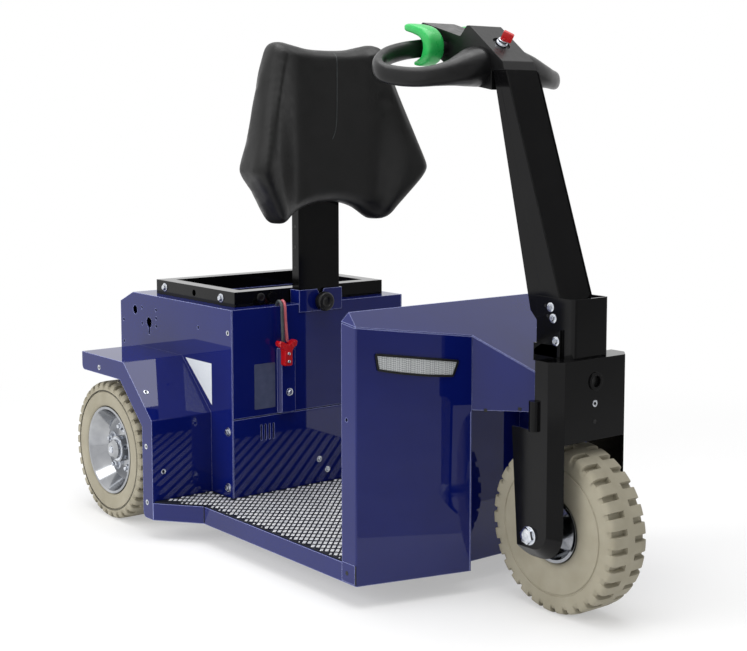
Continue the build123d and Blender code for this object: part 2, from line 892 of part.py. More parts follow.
# Back wall of the front wheel's well
well_top = hood_height(well_wall_x) - hood_vertical
with BuildPart() as well_wall:
    with BuildSketch(Plane.YZ.offset(well_wall_x)):
        with Locations((0, sill_bottom)):
            Rectangle(2 * well_half_width, well_top - sill_bottom, align=(Align.CENTER, Align.MIN))
    extrude(amount=-sheet)

# Neck: a tapering box under the hood, open at the top and at the well wall
neck_rear_half = prow_half_width - neck_seam
with BuildPart() as neck:
    with BuildSketch(Plane.XZ.offset(neck_rear_half)):
        with BuildLine():
            Polyline(
                (well_wall_x, neck_bottom_rear),
                (neck_front_x, neck_bottom_front),
                (neck_front_x, hood_front_height - hood_vertical),
                (well_wall_x, well_top),
                close=True,
            )
        make_face()
    extrude(amount=-2 * neck_rear_half)
    with BuildSketch(Plane.XY):
        with BuildLine():
            Polyline(
                (well_wall_x, 0),
                (well_wall_x, -neck_rear_half),
                (prow_x, -neck_rear_half),
                (neck_front_x, -neck_half_width + neck_seam),
                (neck_front_x, 0),
            )
            mirror(about=Plane.XZ)
        make_face()
    extrude(amount=well_top, mode=Mode.INTERSECT)
    open_faces = [neck.faces().sort_by(Axis.Z)[-1], neck.faces().sort_by(Axis.X)[0]]
    offset(amount=-sheet, openings=open_faces)

# Head tube on the end of the neck, bored for the kingpin
tube_bottom = fork_window_height + fork_crown + bearing_gap
tube_top = fork_top - fork_crown - bearing_gap
block_bottom = neck_bottom_front + head_block_margin
block_top = hood_front_height - hood_vertical
with BuildPart() as head_tube:
    with BuildSketch(Plane.XY.offset(tube_bottom)):
        with Locations((steer_x, 0)):
            Circle(head_tube_radius)
    extrude(amount=tube_top - tube_bottom)
    with BuildSketch(Plane.XY.offset(block_bottom)):
        with Locations((neck_front_x, 0)):
            Rectangle(
                steer_x - neck_front_x, 2 * head_block_half_width, align=(Align.MIN, Align.CENTER)
            )
    extrude(amount=block_top - block_bottom)
    with Locations((steer_x, 0, tube_top)):
        Hole(kingpin_radius + running_clearance)

# Headlights: a bezel and a lens on each front panel, drawn in the panel's own plane
panel_plane = Plane(
    origin=(dash_front_x, -platform_half_width, 0),
    x_dir=(sin(radians(prow_angle)), cos(radians(prow_angle)), 0),
    z_dir=(cos(radians(prow_angle)), -sin(radians(prow_angle)), 0),
)
lamp_corners = (
    (lamp_outer_bottom, hood_rear_height - lamp_drop_outer_bottom),
    (lamp_outer_top, hood_rear_height - lamp_drop_outer_top),
    (lamp_inner_top, hood_rear_height - lamp_drop_inner_top),
    (lamp_inner_bottom, hood_rear_height - lamp_drop_inner_bottom),
)
lamp_low = (
    (lamp_outer_bottom + lamp_inner_bottom) / 2,
    hood_rear_height - (lamp_drop_outer_bottom + lamp_drop_inner_bottom) / 2 - lamp_bow,
)
with BuildSketch() as lamp_outline:
    with BuildLine():
        Polyline(*lamp_corners)
        ThreePointArc(lamp_corners[-1], lamp_low, lamp_corners[0])
    make_face()
    fillet(lamp_outline.vertices(), radius=lamp_corner)

with BuildPart() as headlight_bezels:
    with BuildSketch(panel_plane):
        add(lamp_outline.sketch)
        offset(amount=-lamp_border, mode=Mode.SUBTRACT)
    extrude(amount=bezel_proud)
    mirror(about=Plane.XZ)

with BuildPart() as headlight_lenses:
    with BuildSketch(panel_plane):
        add(lamp_outline.sketch)
        offset(amount=-lamp_border, mode=Mode.REPLACE)
    extrude(amount=lens_proud)
    mirror(about=Plane.XZ)

# Backrest post: a flat tube that slides in the sleeve
with BuildPart() as backrest_post:
    with BuildSketch(Plane.XY.offset(post_bottom)):
        with Locations(((post_front_x + post_rear_x) / 2, 0)):
            Rectangle(post_depth, post_width)
            Rectangle(post_depth - 2 * post_wall, post_width - 2 * post_wall, mode=Mode.SUBTRACT)
    extrude(amount=post_top - post_bottom)

# Backrest pad: its front outline, cut to a plan that is thin behind the rider and thick at both sides
pad_top = post_top + pad_above_post
pad_right = (
    (pad_top_half, pad_top),
    (pad_wide_half, post_top - pad_wide_drop),
    (pad_lobe_half, post_top - pad_lobe_drop),
)
pad_front_x = post_front_x + pad_wing_reach
with BuildPart() as backrest_pad:
    with BuildSketch(Plane.YZ.offset(post_front_x)):
        with BuildLine():
            FilletPolyline(
                (0, pad_top - pad_dip),
                *pad_right,
                (0, post_top - pad_arch_drop),
                *[(-y, z) for y, z in reversed(pad_right)],
                radius=pad_rounding,
                close=True,
            )
        make_face()
    extrude(amount=pad_wing_reach)
    with BuildSketch(Plane.XY):
        with BuildLine():
            Polyline(
                (post_front_x, 0),
                (post_front_x, pad_back_half),
                (post_front_x + pad_back_lean, pad_wide_half),
                (pad_front_x, pad_wide_half),
                (pad_front_x, pad_wide_half - pad_rim),
                (post_front_x + pad_thickness, pad_hollow_half),
                (post_front_x + pad_thickness, 0),
            )
            mirror(about=Plane.XZ)
        make_face()
    extrude(amount=pad_top, mode=Mode.INTERSECT)

# Fork: two dished legs and a front plate, with two plates for the kingpin and two welded steering stops
leg_bottom = tyre_radius - fork_leg_drop
leg_heel_x = fork_leg_rear_x + fork_leg_lean
leg_base_y = fork_half_width - fork_chamfer
with BuildPart() as fork_leg:
    for inset, depth, mode in (
        (0, fork_chamfer, Mode.ADD),
        (plate * 2 ** 0.5, fork_chamfer - plate, Mode.SUBTRACT),
    ):
        with BuildSketch(Plane.XZ.offset(leg_base_y)):
            with BuildLine():
                FilletPolyline(
                    (fork_leg_rear_x - fork_half_width, leg_bottom + inset),
                    (fork_front_x - inset, leg_bottom + inset),
                    (fork_front_x - inset, fork_top + fork_half_width),
                    (fork_leg_rear_x - fork_half_width, fork_top + fork_half_width),
                    radius=fork_leg_round - inset,
                    close=True,
                )
            make_face()
        extrude(amount=depth, taper=45, mode=mode)
    with BuildSketch(Plane.XZ.offset(leg_base_y)) as leg_outline:
        with BuildLine():
            Polyline(
                (fork_neck_rear_x, fork_top),
                (fork_front_x, fork_top),
                (fork_front_x, leg_bottom),
                (leg_heel_x, leg_bottom),
                (fork_leg_rear_x, fork_step_height),
                (fork_neck_rear_x, fork_step_height),
                close=True,
            )
        make_face()
        fillet(leg_outline.vertices().sort_by_distance((leg_heel_x, leg_bottom))[0], radius=fork_heel_round)
    extrude(amount=fork_chamfer, mode=Mode.INTERSECT)

gland_height = fork_top - fork_gland_drop
with BuildPart() as fork:
    add(fork_leg.part)
    mirror(fork_leg.part, about=Plane.XZ)
    with BuildSketch(Plane.YZ.offset(fork_front_x)):
        with Locations((0, fork_window_height)):
            Rectangle(2 * leg_base_y, fork_top - fork_window_height, align=(Align.CENTER, Align.MIN))
    extrude(amount=-plate)
    with BuildSketch(Plane.YZ.offset(fork_front_x - plate)):
        with Locations((0, gland_height)):
            Circle(fork_gland_radius)
    extrude(amount=plate + fork_gland_proud)
    for shelf in (fork_window_height, fork_top - fork_crown):
        with BuildSketch(Plane.XY.offset(shelf)):
            with BuildLine():
                Polyline(
                    (fork_neck_rear_x, 0),
                    (fork_neck_rear_x, -fork_inner_half),
                    (fork_front_x - fork_chamfer, -fork_inner_half),
                    (fork_front_x - plate, -leg_base_y),
                    (fork_front_x - plate, 0),
                )
                mirror(about=Plane.XZ)
            make_face()
            with Locations((steer_x, 0)):
                Circle(head_tube_radius + plate)
        extrude(amount=fork_crown)
    with BuildSketch(Plane.XY.offset(fork_step_height)):
        with Locations((fork_neck_rear_x, -fork_half_width), (fork_neck_rear_x, fork_half_width)):
            Circle(stop_radius)
    extrude(amount=stop_height)
    with BuildSketch(Plane.YZ.offset(fork_front_x - plate)):
        with Locations((0, gland_height)):
            Circle(fork_gland_bore)
    extrude(amount=plate + fork_gland_proud, mode=Mode.SUBTRACT)
    with Locations((steer_x, 0, fork_top)):
        Hole(kingpin_radius + slide_clearance)
    with Locations(Plane.XZ.offset(fork_half_width).location * Location((front_x, tyre_radius))):
        Hole(axle_bolt_radius + slide_clearance)

with BuildPart() as kingpin:
    with BuildSketch(Plane.XY.offset(fork_window_height - plate)):
        with Locations((steer_x, 0)):
            Circle(kingpin_radius)
    extrude(amount=fork_top - fork_window_height + 2 * plate)
    for head_bottom in (fork_window_height - plate, fork_top):
        with BuildSketch(Plane.XY.offset(head_bottom)):
            with Locations((steer_x, 0)):
                Circle(kingpin_radius + plate)
        extrude(amount=plate)

# Front axle bolt with its nuts and the spacers beside the hub
hub_half_width = front_tyre_width / 2
with BuildPart() as front_axle_bolt:
    with BuildSketch(Plane.XZ.offset(-fork_half_width - nut_height)):
        with Locations((front_x, tyre_radius)):
            Circle(axle_bolt_radius)
    extrude(amount=2 * (fork_half_width + nut_height))
    with BuildSketch(Plane.XZ.offset(fork_half_width)):
        with Locations((front_x, tyre_radius)):
            RegularPolygon(nut_radius, 6)
    extrude(amount=nut_height)
    with BuildSketch(Plane.XZ.offset(hub_half_width + bearing_gap)):
        with Locations((front_x, tyre_radius)):
            Circle(nut_radius)
    extrude(amount=fork_inner_half - hub_half_width - bearing_gap)
    mirror(about=Plane.XZ)

# Base bracket of the column: a channel on the fork's crown, with a gusset on each side
bracket_outer_half = column_half_width + slide_clearance + bracket_plate
column_bracket_front = front_x + column_bracket_front_reach
column_bracket_rear = front_x - column_bracket_rear_setback
with BuildPart() as column_bracket:
    with BuildSketch(Plane.XY.offset(fork_top)):
        with BuildLine():
            FilletPolyline(
                (column_bracket_rear, -bracket_outer_half),
                (column_bracket_front, -bracket_outer_half),
                (column_bracket_front, bracket_outer_half),
                (column_bracket_rear, bracket_outer_half),
                radius=bracket_bend,
            )
            offset(amount=bracket_plate, side=Side.LEFT)
        make_face()
    extrude(amount=column_bracket_height)
    with BuildSketch(Plane.XZ.offset(bracket_outer_half)):
        with BuildLine():
            Polyline(
                (column_bracket_rear, fork_top),
                (column_bracket_rear + gusset_length, fork_top),
                (column_bracket_rear + gusset_length, fork_top + gusset_height),
                (column_bracket_rear, fork_top + gusset_low_end),
                close=True,
            )
        make_face()
    extrude(amount=gusset_width)
    mirror(about=Plane.XZ)

# Column: a front channel and a rear cover that meet along a leaning seam
seam_bottom_x = front_x + seam_bottom_reach
seam_top_x = front_x - seam_top_setback
column_bottom_rear_x = front_x - column_bottom_rear_setback
column_top_rear_x = front_x - column_top_rear_setback
cover_heel_top = cover_lift + cover_heel
cover_lean = (column_bottom_rear_x - column_top_rear_x) / column_height
cover_rear_x = column_bottom_rear_x - cover_lean * cover_heel_top
seam_middle = ((seam_bottom_x + seam_top_x) / 2, 0, (column_bottom + column_top) / 2)
with BuildPart() as column_channel:
    with BuildSketch(Plane.XZ.offset(column_half_width)):
        with BuildLine():
            Polyline(
                (seam_bottom_x, column_bottom),
                (front_x + column_bottom_front_reach, column_bottom),
                (front_x - column_top_front_setback, column_top),
                (seam_top_x, column_top),
                close=True,
            )
        make_face()
    extrude(amount=-2 * column_half_width)
    offset(amount=-sheet, openings=column_channel.faces().sort_by_distance(seam_middle)[0])

with BuildPart() as column_cover:
    with BuildSketch(Plane.XZ.offset(column_half_width)):
        with BuildLine():
            Polyline(
                (cover_rear_x + cover_heel, column_bottom),
                (seam_bottom_x, column_bottom),
                (seam_top_x, column_top),
                (column_top_rear_x, column_top),
                (cover_rear_x, column_bottom + cover_heel_top),
                (cover_rear_x + cover_heel, column_bottom + cover_lift),
                close=True,
            )
        make_face()
    extrude(amount=-2 * column_half_width)
    offset(amount=-sheet, openings=column_cover.faces().sort_by_distance(seam_middle)[0])

# Key switch's own plane, in the middle of the head's sloping front
head_nose = (front_x - head_nose_setback, column_top + head_nose_rise)
head_crest_height = column_top + head_crest_rise
head_crest_front = (front_x - head_crest_front_setback, head_crest_height)
front_slope = Vector(head_crest_front[0] - head_nose[0], 0, head_crest_front[1] - head_nose[1]).normalized()
key_plane = Plane(
    origin=((head_crest_front[0] + head_nose[0]) / 2, 0, (head_crest_front[1] + head_nose[1]) / 2),
    x_dir=(0, 1, 0),
    z_dir=(front_slope.Z, 0, -front_slope.X),
)

# Tiller head on top of the column, reaching back to the rider, with a round recess for the key
head_tail_x = front_x - head_tail_setback
head_tail_top = head_crest_height + head_tail_rise
head_tail_bottom = head_tail_top - head_tail_depth
head_chin_x = column_top_rear_x - head_back_gap
with BuildPart() as tiller_head:
    with BuildSketch(Plane.XZ.offset(head_half_width)):
        with BuildLine():
            Polyline(
                (front_x - head_lip_setback, column_top),
                head_nose,
                head_crest_front,
                (front_x - head_crest_rear_setback, head_crest_height),
                (front_x - head_dip_setback, head_crest_height - head_dip_drop),
                (head_tail_x, head_tail_top),
                (head_tail_x, head_tail_bottom),
                (front_x - head_heel_setback, column_top + head_heel_rise),
                (front_x - head_belly_setback, column_top - head_belly_drop),
                (head_chin_x, column_top - head_chin_drop),
                (head_chin_x, column_top),
                close=True,
            )
        make_face()
    extrude(amount=-2 * head_half_width)
    upper_edges = tiller_head.edges().filter_by(Axis.Y).filter_by_position(
        Axis.Z, column_top + head_nose_rise / 2, head_tail_top
    )
    fillet(upper_edges, radius=head_rounding)
    with BuildSketch(key_plane):
        Circle(key_recess_radius)
    extrude(amount=-key_recess_depth, mode=Mode.SUBTRACT)

with BuildPart() as key_switch:
    with BuildSketch(key_plane.offset(-key_recess_depth)):
        Circle(key_radius)
    extrude(amount=key_collar)
    with BuildSketch(key_plane.offset(key_collar - key_recess_depth)):
        RectangleRounded(key_blade_width, key_blade_length, key_rounding)
    extrude(amount=key_blade_height)

# Safety button across the tail of the head
with BuildPart() as stop_button:
    with BuildSketch(Plane.YZ.offset(head_tail_x)):
        with Locations((0, (head_tail_top + head_tail_bottom) / 2)):
            RectangleRounded(2 * button_half_width, button_height, button_rounding)
    extrude(amount=-button_depth)

# Two loop grips: a thick root at the head's front corner, then one bar bent round to the head's tail
grip_tail_x = front_x - grip_tail_setback
grip_tail_height = column_top + grip_tail_rise
with BuildPart() as loop_grips:
    with BuildLine() as grip_path:
        FilletPolyline(
            (front_x - grip_start_setback, -grip_start_y, column_top - grip_start_drop),
            (front_x - grip_corner_setback, -grip_corner_y, column_top - grip_corner_drop),
            (front_x - grip_end_setback, -grip_end_y, column_top + grip_end_rise),
            (front_x - grip_rear_setback, -grip_rear_y, column_top + grip_rear_rise),
            (grip_tail_x, -head_half_width, grip_tail_height),
            (grip_tail_x, grip_half_width - head_half_width, grip_tail_height),
            radius=grip_bend,
        )
    start_plane = Plane(origin=grip_path.line @ 0, x_dir=(0, 0, 1), z_dir=grip_path.line % 0)
    with BuildSketch(start_plane):
        Ellipse(grip_half_height, grip_half_width)
    sweep()
    with BuildSketch(Plane.XZ.offset(head_half_width)):
        with Locations((front_x - root_setback, column_top + root_rise)):
            Ellipse(root_half_height, root_half_width, rotation=90)
    with BuildSketch(start_plane):
        Ellipse(grip_half_height, grip_half_width)
    loft()
    split(bisect_by=Plane.XZ.offset(head_half_width), keep=Keep.TOP)
    mirror(about=Plane.XZ)

# Butterfly throttle: a bent strip on each side of the head, round the rear bar of the loop
throttle_front_x = front_x - throttle_front_setback
with BuildPart() as throttle_wings:
    with BuildSketch(Plane.XZ.offset(head_half_width)):
        with BuildLine():
            FilletPolyline(
                (throttle_front_x - throttle_upper_reach, column_top + throttle_top_rise),
                (throttle_front_x, column_top + throttle_top_rise),
                (throttle_front_x, column_top + throttle_bottom_rise),
                (throttle_front_x - throttle_lower_reach, column_top + throttle_bottom_rise),
                radius=throttle_bend,
            )
            offset(amount=throttle_thickness, side=Side.RIGHT)
        make_face()
    extrude(amount=throttle_outer_y - head_half_width)
    mirror(about=Plane.XZ)


def make_tyre(axle_x, width, rim_radius, lugs, flats_per_lug, groove_reach):
    """Tyre ring about an axle at a station, on the middle plane, with grooves cut in from both sides."""
    wheel_plane = Plane(origin=(axle_x, 0, tyre_radius), x_dir=(1, 0, 0), z_dir=(0, -1, 0))
    flats = lugs * flats_per_lug
    flat_angle = 360 / flats
    with BuildPart() as tyre:
        with BuildSketch(wheel_plane):
            RegularPolygon(tyre_radius, flats)
            RegularPolygon(rim_radius + soft_clearance, flats, major_radius=False, mode=Mode.SUBTRACT)
        extrude(amount=width / 2, both=True)
        shoulders = tyre.edges().group_by(lambda edge: round((edge.center() - wheel_plane.origin).length))[-1]
        chamfer(shoulders, length=tyre_shoulder)
        for side, start in ((-1, flat_angle / 2), (1, flat_angle * (flats_per_lug - 1 / 2))):
            with Locations(wheel_plane.offset(side * width / 2)):
                with PolarLocations(tyre_radius, lugs, start_angle=start):
                    Box(2 * groove_depth, groove_width, 2 * groove_reach, mode=Mode.SUBTRACT)
    return tyre.part


with BuildPart() as rear_tyre_right:
    rear_tyre = make_tyre(rear_x, rear_tyre_width, rear_rim_radius, rear_lugs, 1, rear_groove_reach)
    add(rear_tyre.moved(Location((0, -rear_middle_y, 0))))

with BuildPart() as rear_tyre_left:
    mirror(rear_tyre_right.part, about=Plane.XZ)

with BuildPart() as front_tyre:
    add(make_tyre(front_x, front_tyre_width, front_rim_radius, front_lugs, 2, front_groove_reach))

# Rear rim: a barrel, a deep dish on the outer side and a hub whose cap closes over the spindle's end
rim_edge = rear_tyre_width / 2 - rim_setback
dish_floor = rim_edge - rear_dish_depth
hub_end = dish_floor + hub_length
cap_end = hub_end + hub_cap_length
cavity_end = spindle_end_y - rear_middle_y + soft_clearance
barrel_radius = rear_rim_radius - rim_wall
rear_rim_points = (
    (-rim_edge, rear_rim_radius),
    (rim_edge, rear_rim_radius),
    (rim_edge, rear_rim_radius - rim_lip_width),
    (dish_floor, rear_dish_radius),
    (dish_floor, hub_radius),
    (hub_end, hub_radius),
    (hub_end, hub_cap_radius),
    (cap_end - hub_cap_dome, hub_cap_radius),
    (cap_end, hub_cap_radius - hub_cap_dome),
    (cap_end, 0),
    (cavity_end, 0),
    (cavity_end, spindle_radius + running_clearance),
    (-rear_tyre_width / 2, spindle_radius + running_clearance),
    (-rear_tyre_width / 2, hub_radius),
    (dish_floor - plate, hub_radius),
    (dish_floor - plate, rear_dish_radius),
    (rim_edge - 2 * rim_lip_width, barrel_radius),
    (-rim_edge, barrel_radius),
)
with BuildPart() as rear_rim_right:
    with BuildSketch(Plane.YZ.offset(rear_x)):
        with BuildLine():
            Polyline(*[(-rear_middle_y - y, tyre_radius + r) for y, r in rear_rim_points], close=True)
        make_face()
    revolve(axis=Axis((rear_x, 0, tyre_radius), (0, 1, 0)))

with BuildPart() as rear_rim_left:
    mirror(rear_rim_right.part, about=Plane.XZ)

# Front rim: the same on both sides, with a plain bore for the axle bolt
front_rim_edge = front_tyre_width / 2 - rim_setback
front_rim_points = (
    (0, front_rim_radius),
    (front_rim_edge, front_rim_radius),
    (front_rim_edge, front_rim_radius - rim_lip_width),
    (front_rim_edge - front_dish_depth, front_dish_radius),
    (front_rim_edge - front_dish_depth, front_hub_radius),
    (hub_half_width, front_hub_radius),
    (hub_half_width, axle_bolt_radius + running_clearance),
    (0, axle_bolt_radius + running_clearance),
)
with BuildPart() as front_rim:
    with BuildSketch(Plane.YZ.offset(front_x)):
        with BuildLine():
            Polyline(*[(y, tyre_radius + r) for y, r in front_rim_points])
            mirror(about=Plane.YZ)
        make_face()
    revolve(axis=Axis((front_x, 0, tyre_radius), (0, 1, 0)))

pieces = {
    "ladder_frame": ladder_frame,
    "platform_tray": platform_tray,
    "tread_plate": tread_plate,
    "box_side_right": box_side_right,
    "box_side_left": box_side_left,
    "box_front_upper": box_front_upper,
    "box_front_lower": box_front_lower,
    "box_rear_panel": box_rear_panel,
    "box_top_plate": box_top_plate,
    "top_frame": top_frame,
    "battery_shelf": battery_shelf,
    "battery_block": battery_block,
    "drive_axle": drive_axle,
    "fender_right": fender_right,
    "fender_left": fender_left,
    "tow_hitch": tow_hitch,
    "post_sleeve": post_sleeve,
    "clamp_knob": clamp_knob,
    "connector_bracket": connector_bracket,
    "battery_connector": battery_connector,
    "battery_cables": battery_cables,
    "front_panel_right": front_panel_right,
    "front_panel_left": front_panel_left,
    "hood": hood,
    "dash_rear_wall": dash_rear_wall,
    "well_wall": well_wall,
    "neck": neck,
    "head_tube": head_tube,
    "headlight_bezels": headlight_bezels,
    "headlight_lenses": headlight_lenses,
    "backrest_post": backrest_post,
    "backrest_pad": backrest_pad,
    "fork": fork,
    "kingpin": kingpin,
    "front_axle_bolt": front_axle_bolt,
    "column_bracket": column_bracket,
    "column_channel": column_channel,
    "column_cover": column_cover,
    "tiller_head": tiller_head,
    "loop_grips": loop_grips,
    "throttle_wings": throttle_wings,
    "stop_button": stop_button,
    "key_switch": key_switch,
    "rear_tyre_right": rear_tyre_right,
    "rear_tyre_left": rear_tyre_left,
    "rear_rim_right": rear_rim_right,
    "rear_rim_left": rear_rim_left,
    "front_tyre": front_tyre,
    "front_rim": front_rim,
}
for name, piece in pieces.items():
    piece.part.label = name
    export_step(piece.part, f"parts/{name}.step")
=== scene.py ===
"""Looks of the stand-on electric tow tug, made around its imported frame.

The frame is in metres. Sizes below are in millimetres, unless a comment says metres.
"""

import math

import bmesh
import bpy
import numpy as np
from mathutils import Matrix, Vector


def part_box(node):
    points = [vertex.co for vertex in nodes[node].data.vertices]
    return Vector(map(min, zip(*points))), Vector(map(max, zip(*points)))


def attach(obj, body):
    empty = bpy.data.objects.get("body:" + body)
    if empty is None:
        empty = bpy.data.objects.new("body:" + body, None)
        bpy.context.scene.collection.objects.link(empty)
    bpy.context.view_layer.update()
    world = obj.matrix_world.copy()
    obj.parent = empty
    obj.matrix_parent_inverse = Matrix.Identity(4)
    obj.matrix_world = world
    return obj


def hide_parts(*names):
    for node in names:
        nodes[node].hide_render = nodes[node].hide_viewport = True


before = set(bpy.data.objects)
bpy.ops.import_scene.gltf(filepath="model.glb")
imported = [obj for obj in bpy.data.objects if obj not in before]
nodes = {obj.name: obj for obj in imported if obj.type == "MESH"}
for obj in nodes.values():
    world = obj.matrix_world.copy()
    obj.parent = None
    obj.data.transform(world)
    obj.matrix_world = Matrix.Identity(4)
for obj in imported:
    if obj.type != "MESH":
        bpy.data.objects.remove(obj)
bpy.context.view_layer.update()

MM = 0.001
RIGHT_LEFT = (-1, 1)
SIDE_WORDS = ((-1, "right"), (1, "left"))

# Places that the frame gives, in metres
rear_low, rear_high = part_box("rear_tyre_right")
front_low, front_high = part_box("front_tyre")
REAR_X = (rear_low.x + rear_high.x) / 2
FRONT_X = (front_low.x + front_high.x) / 2
AXLE_Z = (rear_low.z + rear_high.z) / 2
REAR_HALF_TRACK = -(rear_low.y + rear_high.y) / 2
TYRE_RADIUS = (rear_high.z - rear_low.z) / 2


def at(x, y, z):
    """A place from millimetres counted from the rear axle, the middle plane and the floor."""
    return Vector((REAR_X + x * MM, y * MM, z * MM))


# Camera: the photo's frame is 747 pixels wide, and its principal point lies off the middle

IMAGE_WIDTH, IMAGE_HEIGHT = 747, 651
FOCAL_PIXELS = 1430.24
CENTRE_U, CENTRE_V = 384.59, 272.90
CAMERA_FROM_REAR_AXLE = (3502.9, -2271.4, 1092.7)
CAMERA_FORWARD = Vector((-0.77753, 0.61992, -0.10560))

camera_data = bpy.data.cameras.new("camera")
camera_data.sensor_fit = "HORIZONTAL"
camera_data.sensor_width = 36.0
camera_data.lens = FOCAL_PIXELS * camera_data.sensor_width / IMAGE_WIDTH
camera_data.shift_x = (IMAGE_WIDTH / 2 - CENTRE_U) / IMAGE_WIDTH
camera_data.shift_y = (CENTRE_V - IMAGE_HEIGHT / 2) / IMAGE_WIDTH
camera = bpy.data.objects.new("camera", camera_data)
camera.location = at(*CAMERA_FROM_REAR_AXLE)
camera.rotation_euler = CAMERA_FORWARD.to_track_quat("-Z", "Y").to_euler()
bpy.context.scene.collection.objects.link(camera)
bpy.context.scene.camera = camera
bpy.context.scene.view_settings.view_transform = "Standard"


# Colours and nodes

def linear(hex_text):
    """Linear RGBA of an sRGB hex colour such as #23297a."""
    channels = [int(hex_text[i:i + 2], 16) / 255 for i in (1, 3, 5)]
    return [c / 12.92 if c <= 0.04045 else ((c + 0.055) / 1.055) ** 2.4 for c in channels] + [1.0]


def add_node(tree, kind, settings=None, links=None):
    """Adds a shader node, sets its properties and input values, and links its inputs to other sockets."""
    node = tree.nodes.new(kind)
    for key, value in (settings or {}).items():
        if isinstance(key, str) and hasattr(node, key):
            setattr(node, key, value)
        else:
            node.inputs[key].default_value = value
    for key, socket in (links or {}).items():
        tree.links.new(socket, node.inputs[key])
    return node


def per_mm(size):
    """Texture scale that repeats once in a size in millimetres, on coordinates in metres."""
    return 1 / (size * MM)


def new_material(name, settings):
    """A material with its Principled shader and object coordinates in metres."""
    material = bpy.data.materials.new(name)
    material.use_nodes = True
    tree = material.node_tree
    shader = tree.nodes["Principled BSDF"]
    for key, value in settings.items():
        shader.inputs[key].default_value = value
    place = add_node(tree, "ShaderNodeTexCoord").outputs["Object"]
    return material, tree, shader, place


def mottle(tree, place, size, low, high):
    """Colour that wanders between two tones in patches of a size."""
    noise = add_node(tree, "ShaderNodeTexNoise", {"Scale": per_mm(size), "Detail": 3.0}, {"Vector": place})
    ramp = add_node(tree, "ShaderNodeValToRGB", {}, {"Fac": noise.outputs["Fac"]})
    for element, position, tone in zip(ramp.color_ramp.elements, (0.35, 0.65), (low, high)):
        element.position = position
        element.color = tone
    return ramp.outputs["Color"]


def grain(tree, shader, place, size, height, edge=0.0):
    """Bump of a grain size and height, over edges rounded to a radius.

    Grains that are finer in truth are drawn 1.4 mm wide or more, so that they show.
    """
    noise = add_node(tree, "ShaderNodeTexNoise", {"Scale": per_mm(size), "Detail": 2.0}, {"Vector": place})
    links = {"Height": noise.outputs["Fac"]}
    if edge:
        rounded_edge = add_node(tree, "ShaderNodeBevel", {"samples": 6, "Radius": edge * MM})
        links["Normal"] = rounded_edge.outputs["Normal"]
    bump = add_node(tree, "ShaderNodeBump", {"Strength": 1.0, "Distance": height * MM}, links)
    tree.links.new(bump.outputs["Normal"], shader.inputs["Normal"])


def grey(value):
    """A grey as the colour ramp takes it, for roughness."""
    return [value, value, value, 1.0]


def surface(name, low, high, patch, roughness, grain_size, grain_height, edge=0.0, settings=None):
    """A made surface: two close tones, a roughness that varies a little, a grain and softened edges."""
    material, tree, shader, place = new_material(name, settings or {})
    tree.links.new(mottle(tree, place, patch, linear(low), linear(high)), shader.inputs["Base Color"])
    rough = mottle(tree, place, patch / 3, grey(roughness * 0.85), grey(roughness * 1.15))
    tree.links.new(rough, shader.inputs["Roughness"])
    grain(tree, shader, place, grain_size, grain_height, edge)
    return material


FOLD_RADIUS = 2.2
# How far the painted highlight reaches from each fold
FOLD_HIGHLIGHT_REACH = 2.6


def folded_sheet_paint():
    """Gloss polyester powder baked on folded steel: deep navy under a clear skin.

    The folds carry a painted highlight: pale lines that stand in for the light that the folds
    catch. The lines are drawn broader than they are, so that they show.
    """
    material, tree, shader, place = new_material("gloss_polyester_powder_coat_navy", {
        "IOR": 1.5, "Specular IOR Level": 0.0, "Coat Weight": 0.86, "Coat Roughness": 0.02, "Coat IOR": 1.5})
    flat = add_node(tree, "ShaderNodeNewGeometry")
    fold = add_node(tree, "ShaderNodeBevel", {"samples": 6, "Radius": FOLD_HIGHLIGHT_REACH * MM})
    turn = add_node(tree, "ShaderNodeVectorMath", {"operation": "DOT_PRODUCT"},
                    {0: fold.outputs["Normal"], 1: flat.outputs["Normal"]})
    # Painted highlight: the colour turns pale blue near a fold, where the rounded normal leaves the face's
    # own
    fold_highlight = add_node(tree, "ShaderNodeMapRange", {"From Min": 0.995, "From Max": 0.92, "To Max": 0.9},
                    {"Value": turn.outputs["Value"]})
    tone = mottle(tree, place, 160, linear("#09145a"), linear("#0b1760"))
    paint = add_node(tree, "ShaderNodeMix", {"data_type": "RGBA", 7: linear("#9aa1d6")},
                     {0: fold_highlight.outputs["Result"], 6: tone})
    tree.links.new(paint.outputs[2], shader.inputs["Base Color"])
    tree.links.new(mottle(tree, place, 50, grey(0.26), grey(0.34)), shader.inputs["Roughness"])
    grain(tree, shader, place, 4.0, 0.009, FOLD_RADIUS)
    return material


navy_paint = folded_sheet_paint()

# Epoxy powder baked on plate: near black and smooth, pale only where it is seen along its face
black_coat = surface(
    "gloss_epoxy_powder_coat_black", "#080809", "#0b0b0c", 120, 0.1, 4.0, 0.003, 0.9, {"IOR": 1.28})

# Rolled aluminium on the raised lozenges: bright, a lit copy of the sheet, painted light
lozenge_metal = surface(
    "rolled_aluminium_lozenges", "#dadcdf", "#f0f1f2", 30, 0.42, 1.5, 0.02, 0.4, {"Metallic": 0.35})

# The same sheet between its lozenges: painted shade, a shaded copy near black with a blue cast
valley_metal_painted_shade = surface(
    "rolled_aluminium_valleys_painted_shade", "#0d0f17", "#181b26", 24, 0.5, 2.0, 0.05, 0.0, {"Metallic": 0.5})

# Electroplated zinc on fasteners: bright, slightly bluish
zinc_plate = surface("zinc_plated_steel", "#c3c8d2", "#e2e5ea", 8, 0.2, 1.5, 0.02, 0.5, {"Metallic": 1.0})

# Pressed steel wheel, spun and zinc plated: a soft, slightly cloudy mirror
rim_silver = surface(
    "zinc_plated_pressed_steel_rim", "#9a9ca0", "#b4b6b9", 70, 0.13, 3.0, 0.01, 0.8, {"Metallic": 1.0})

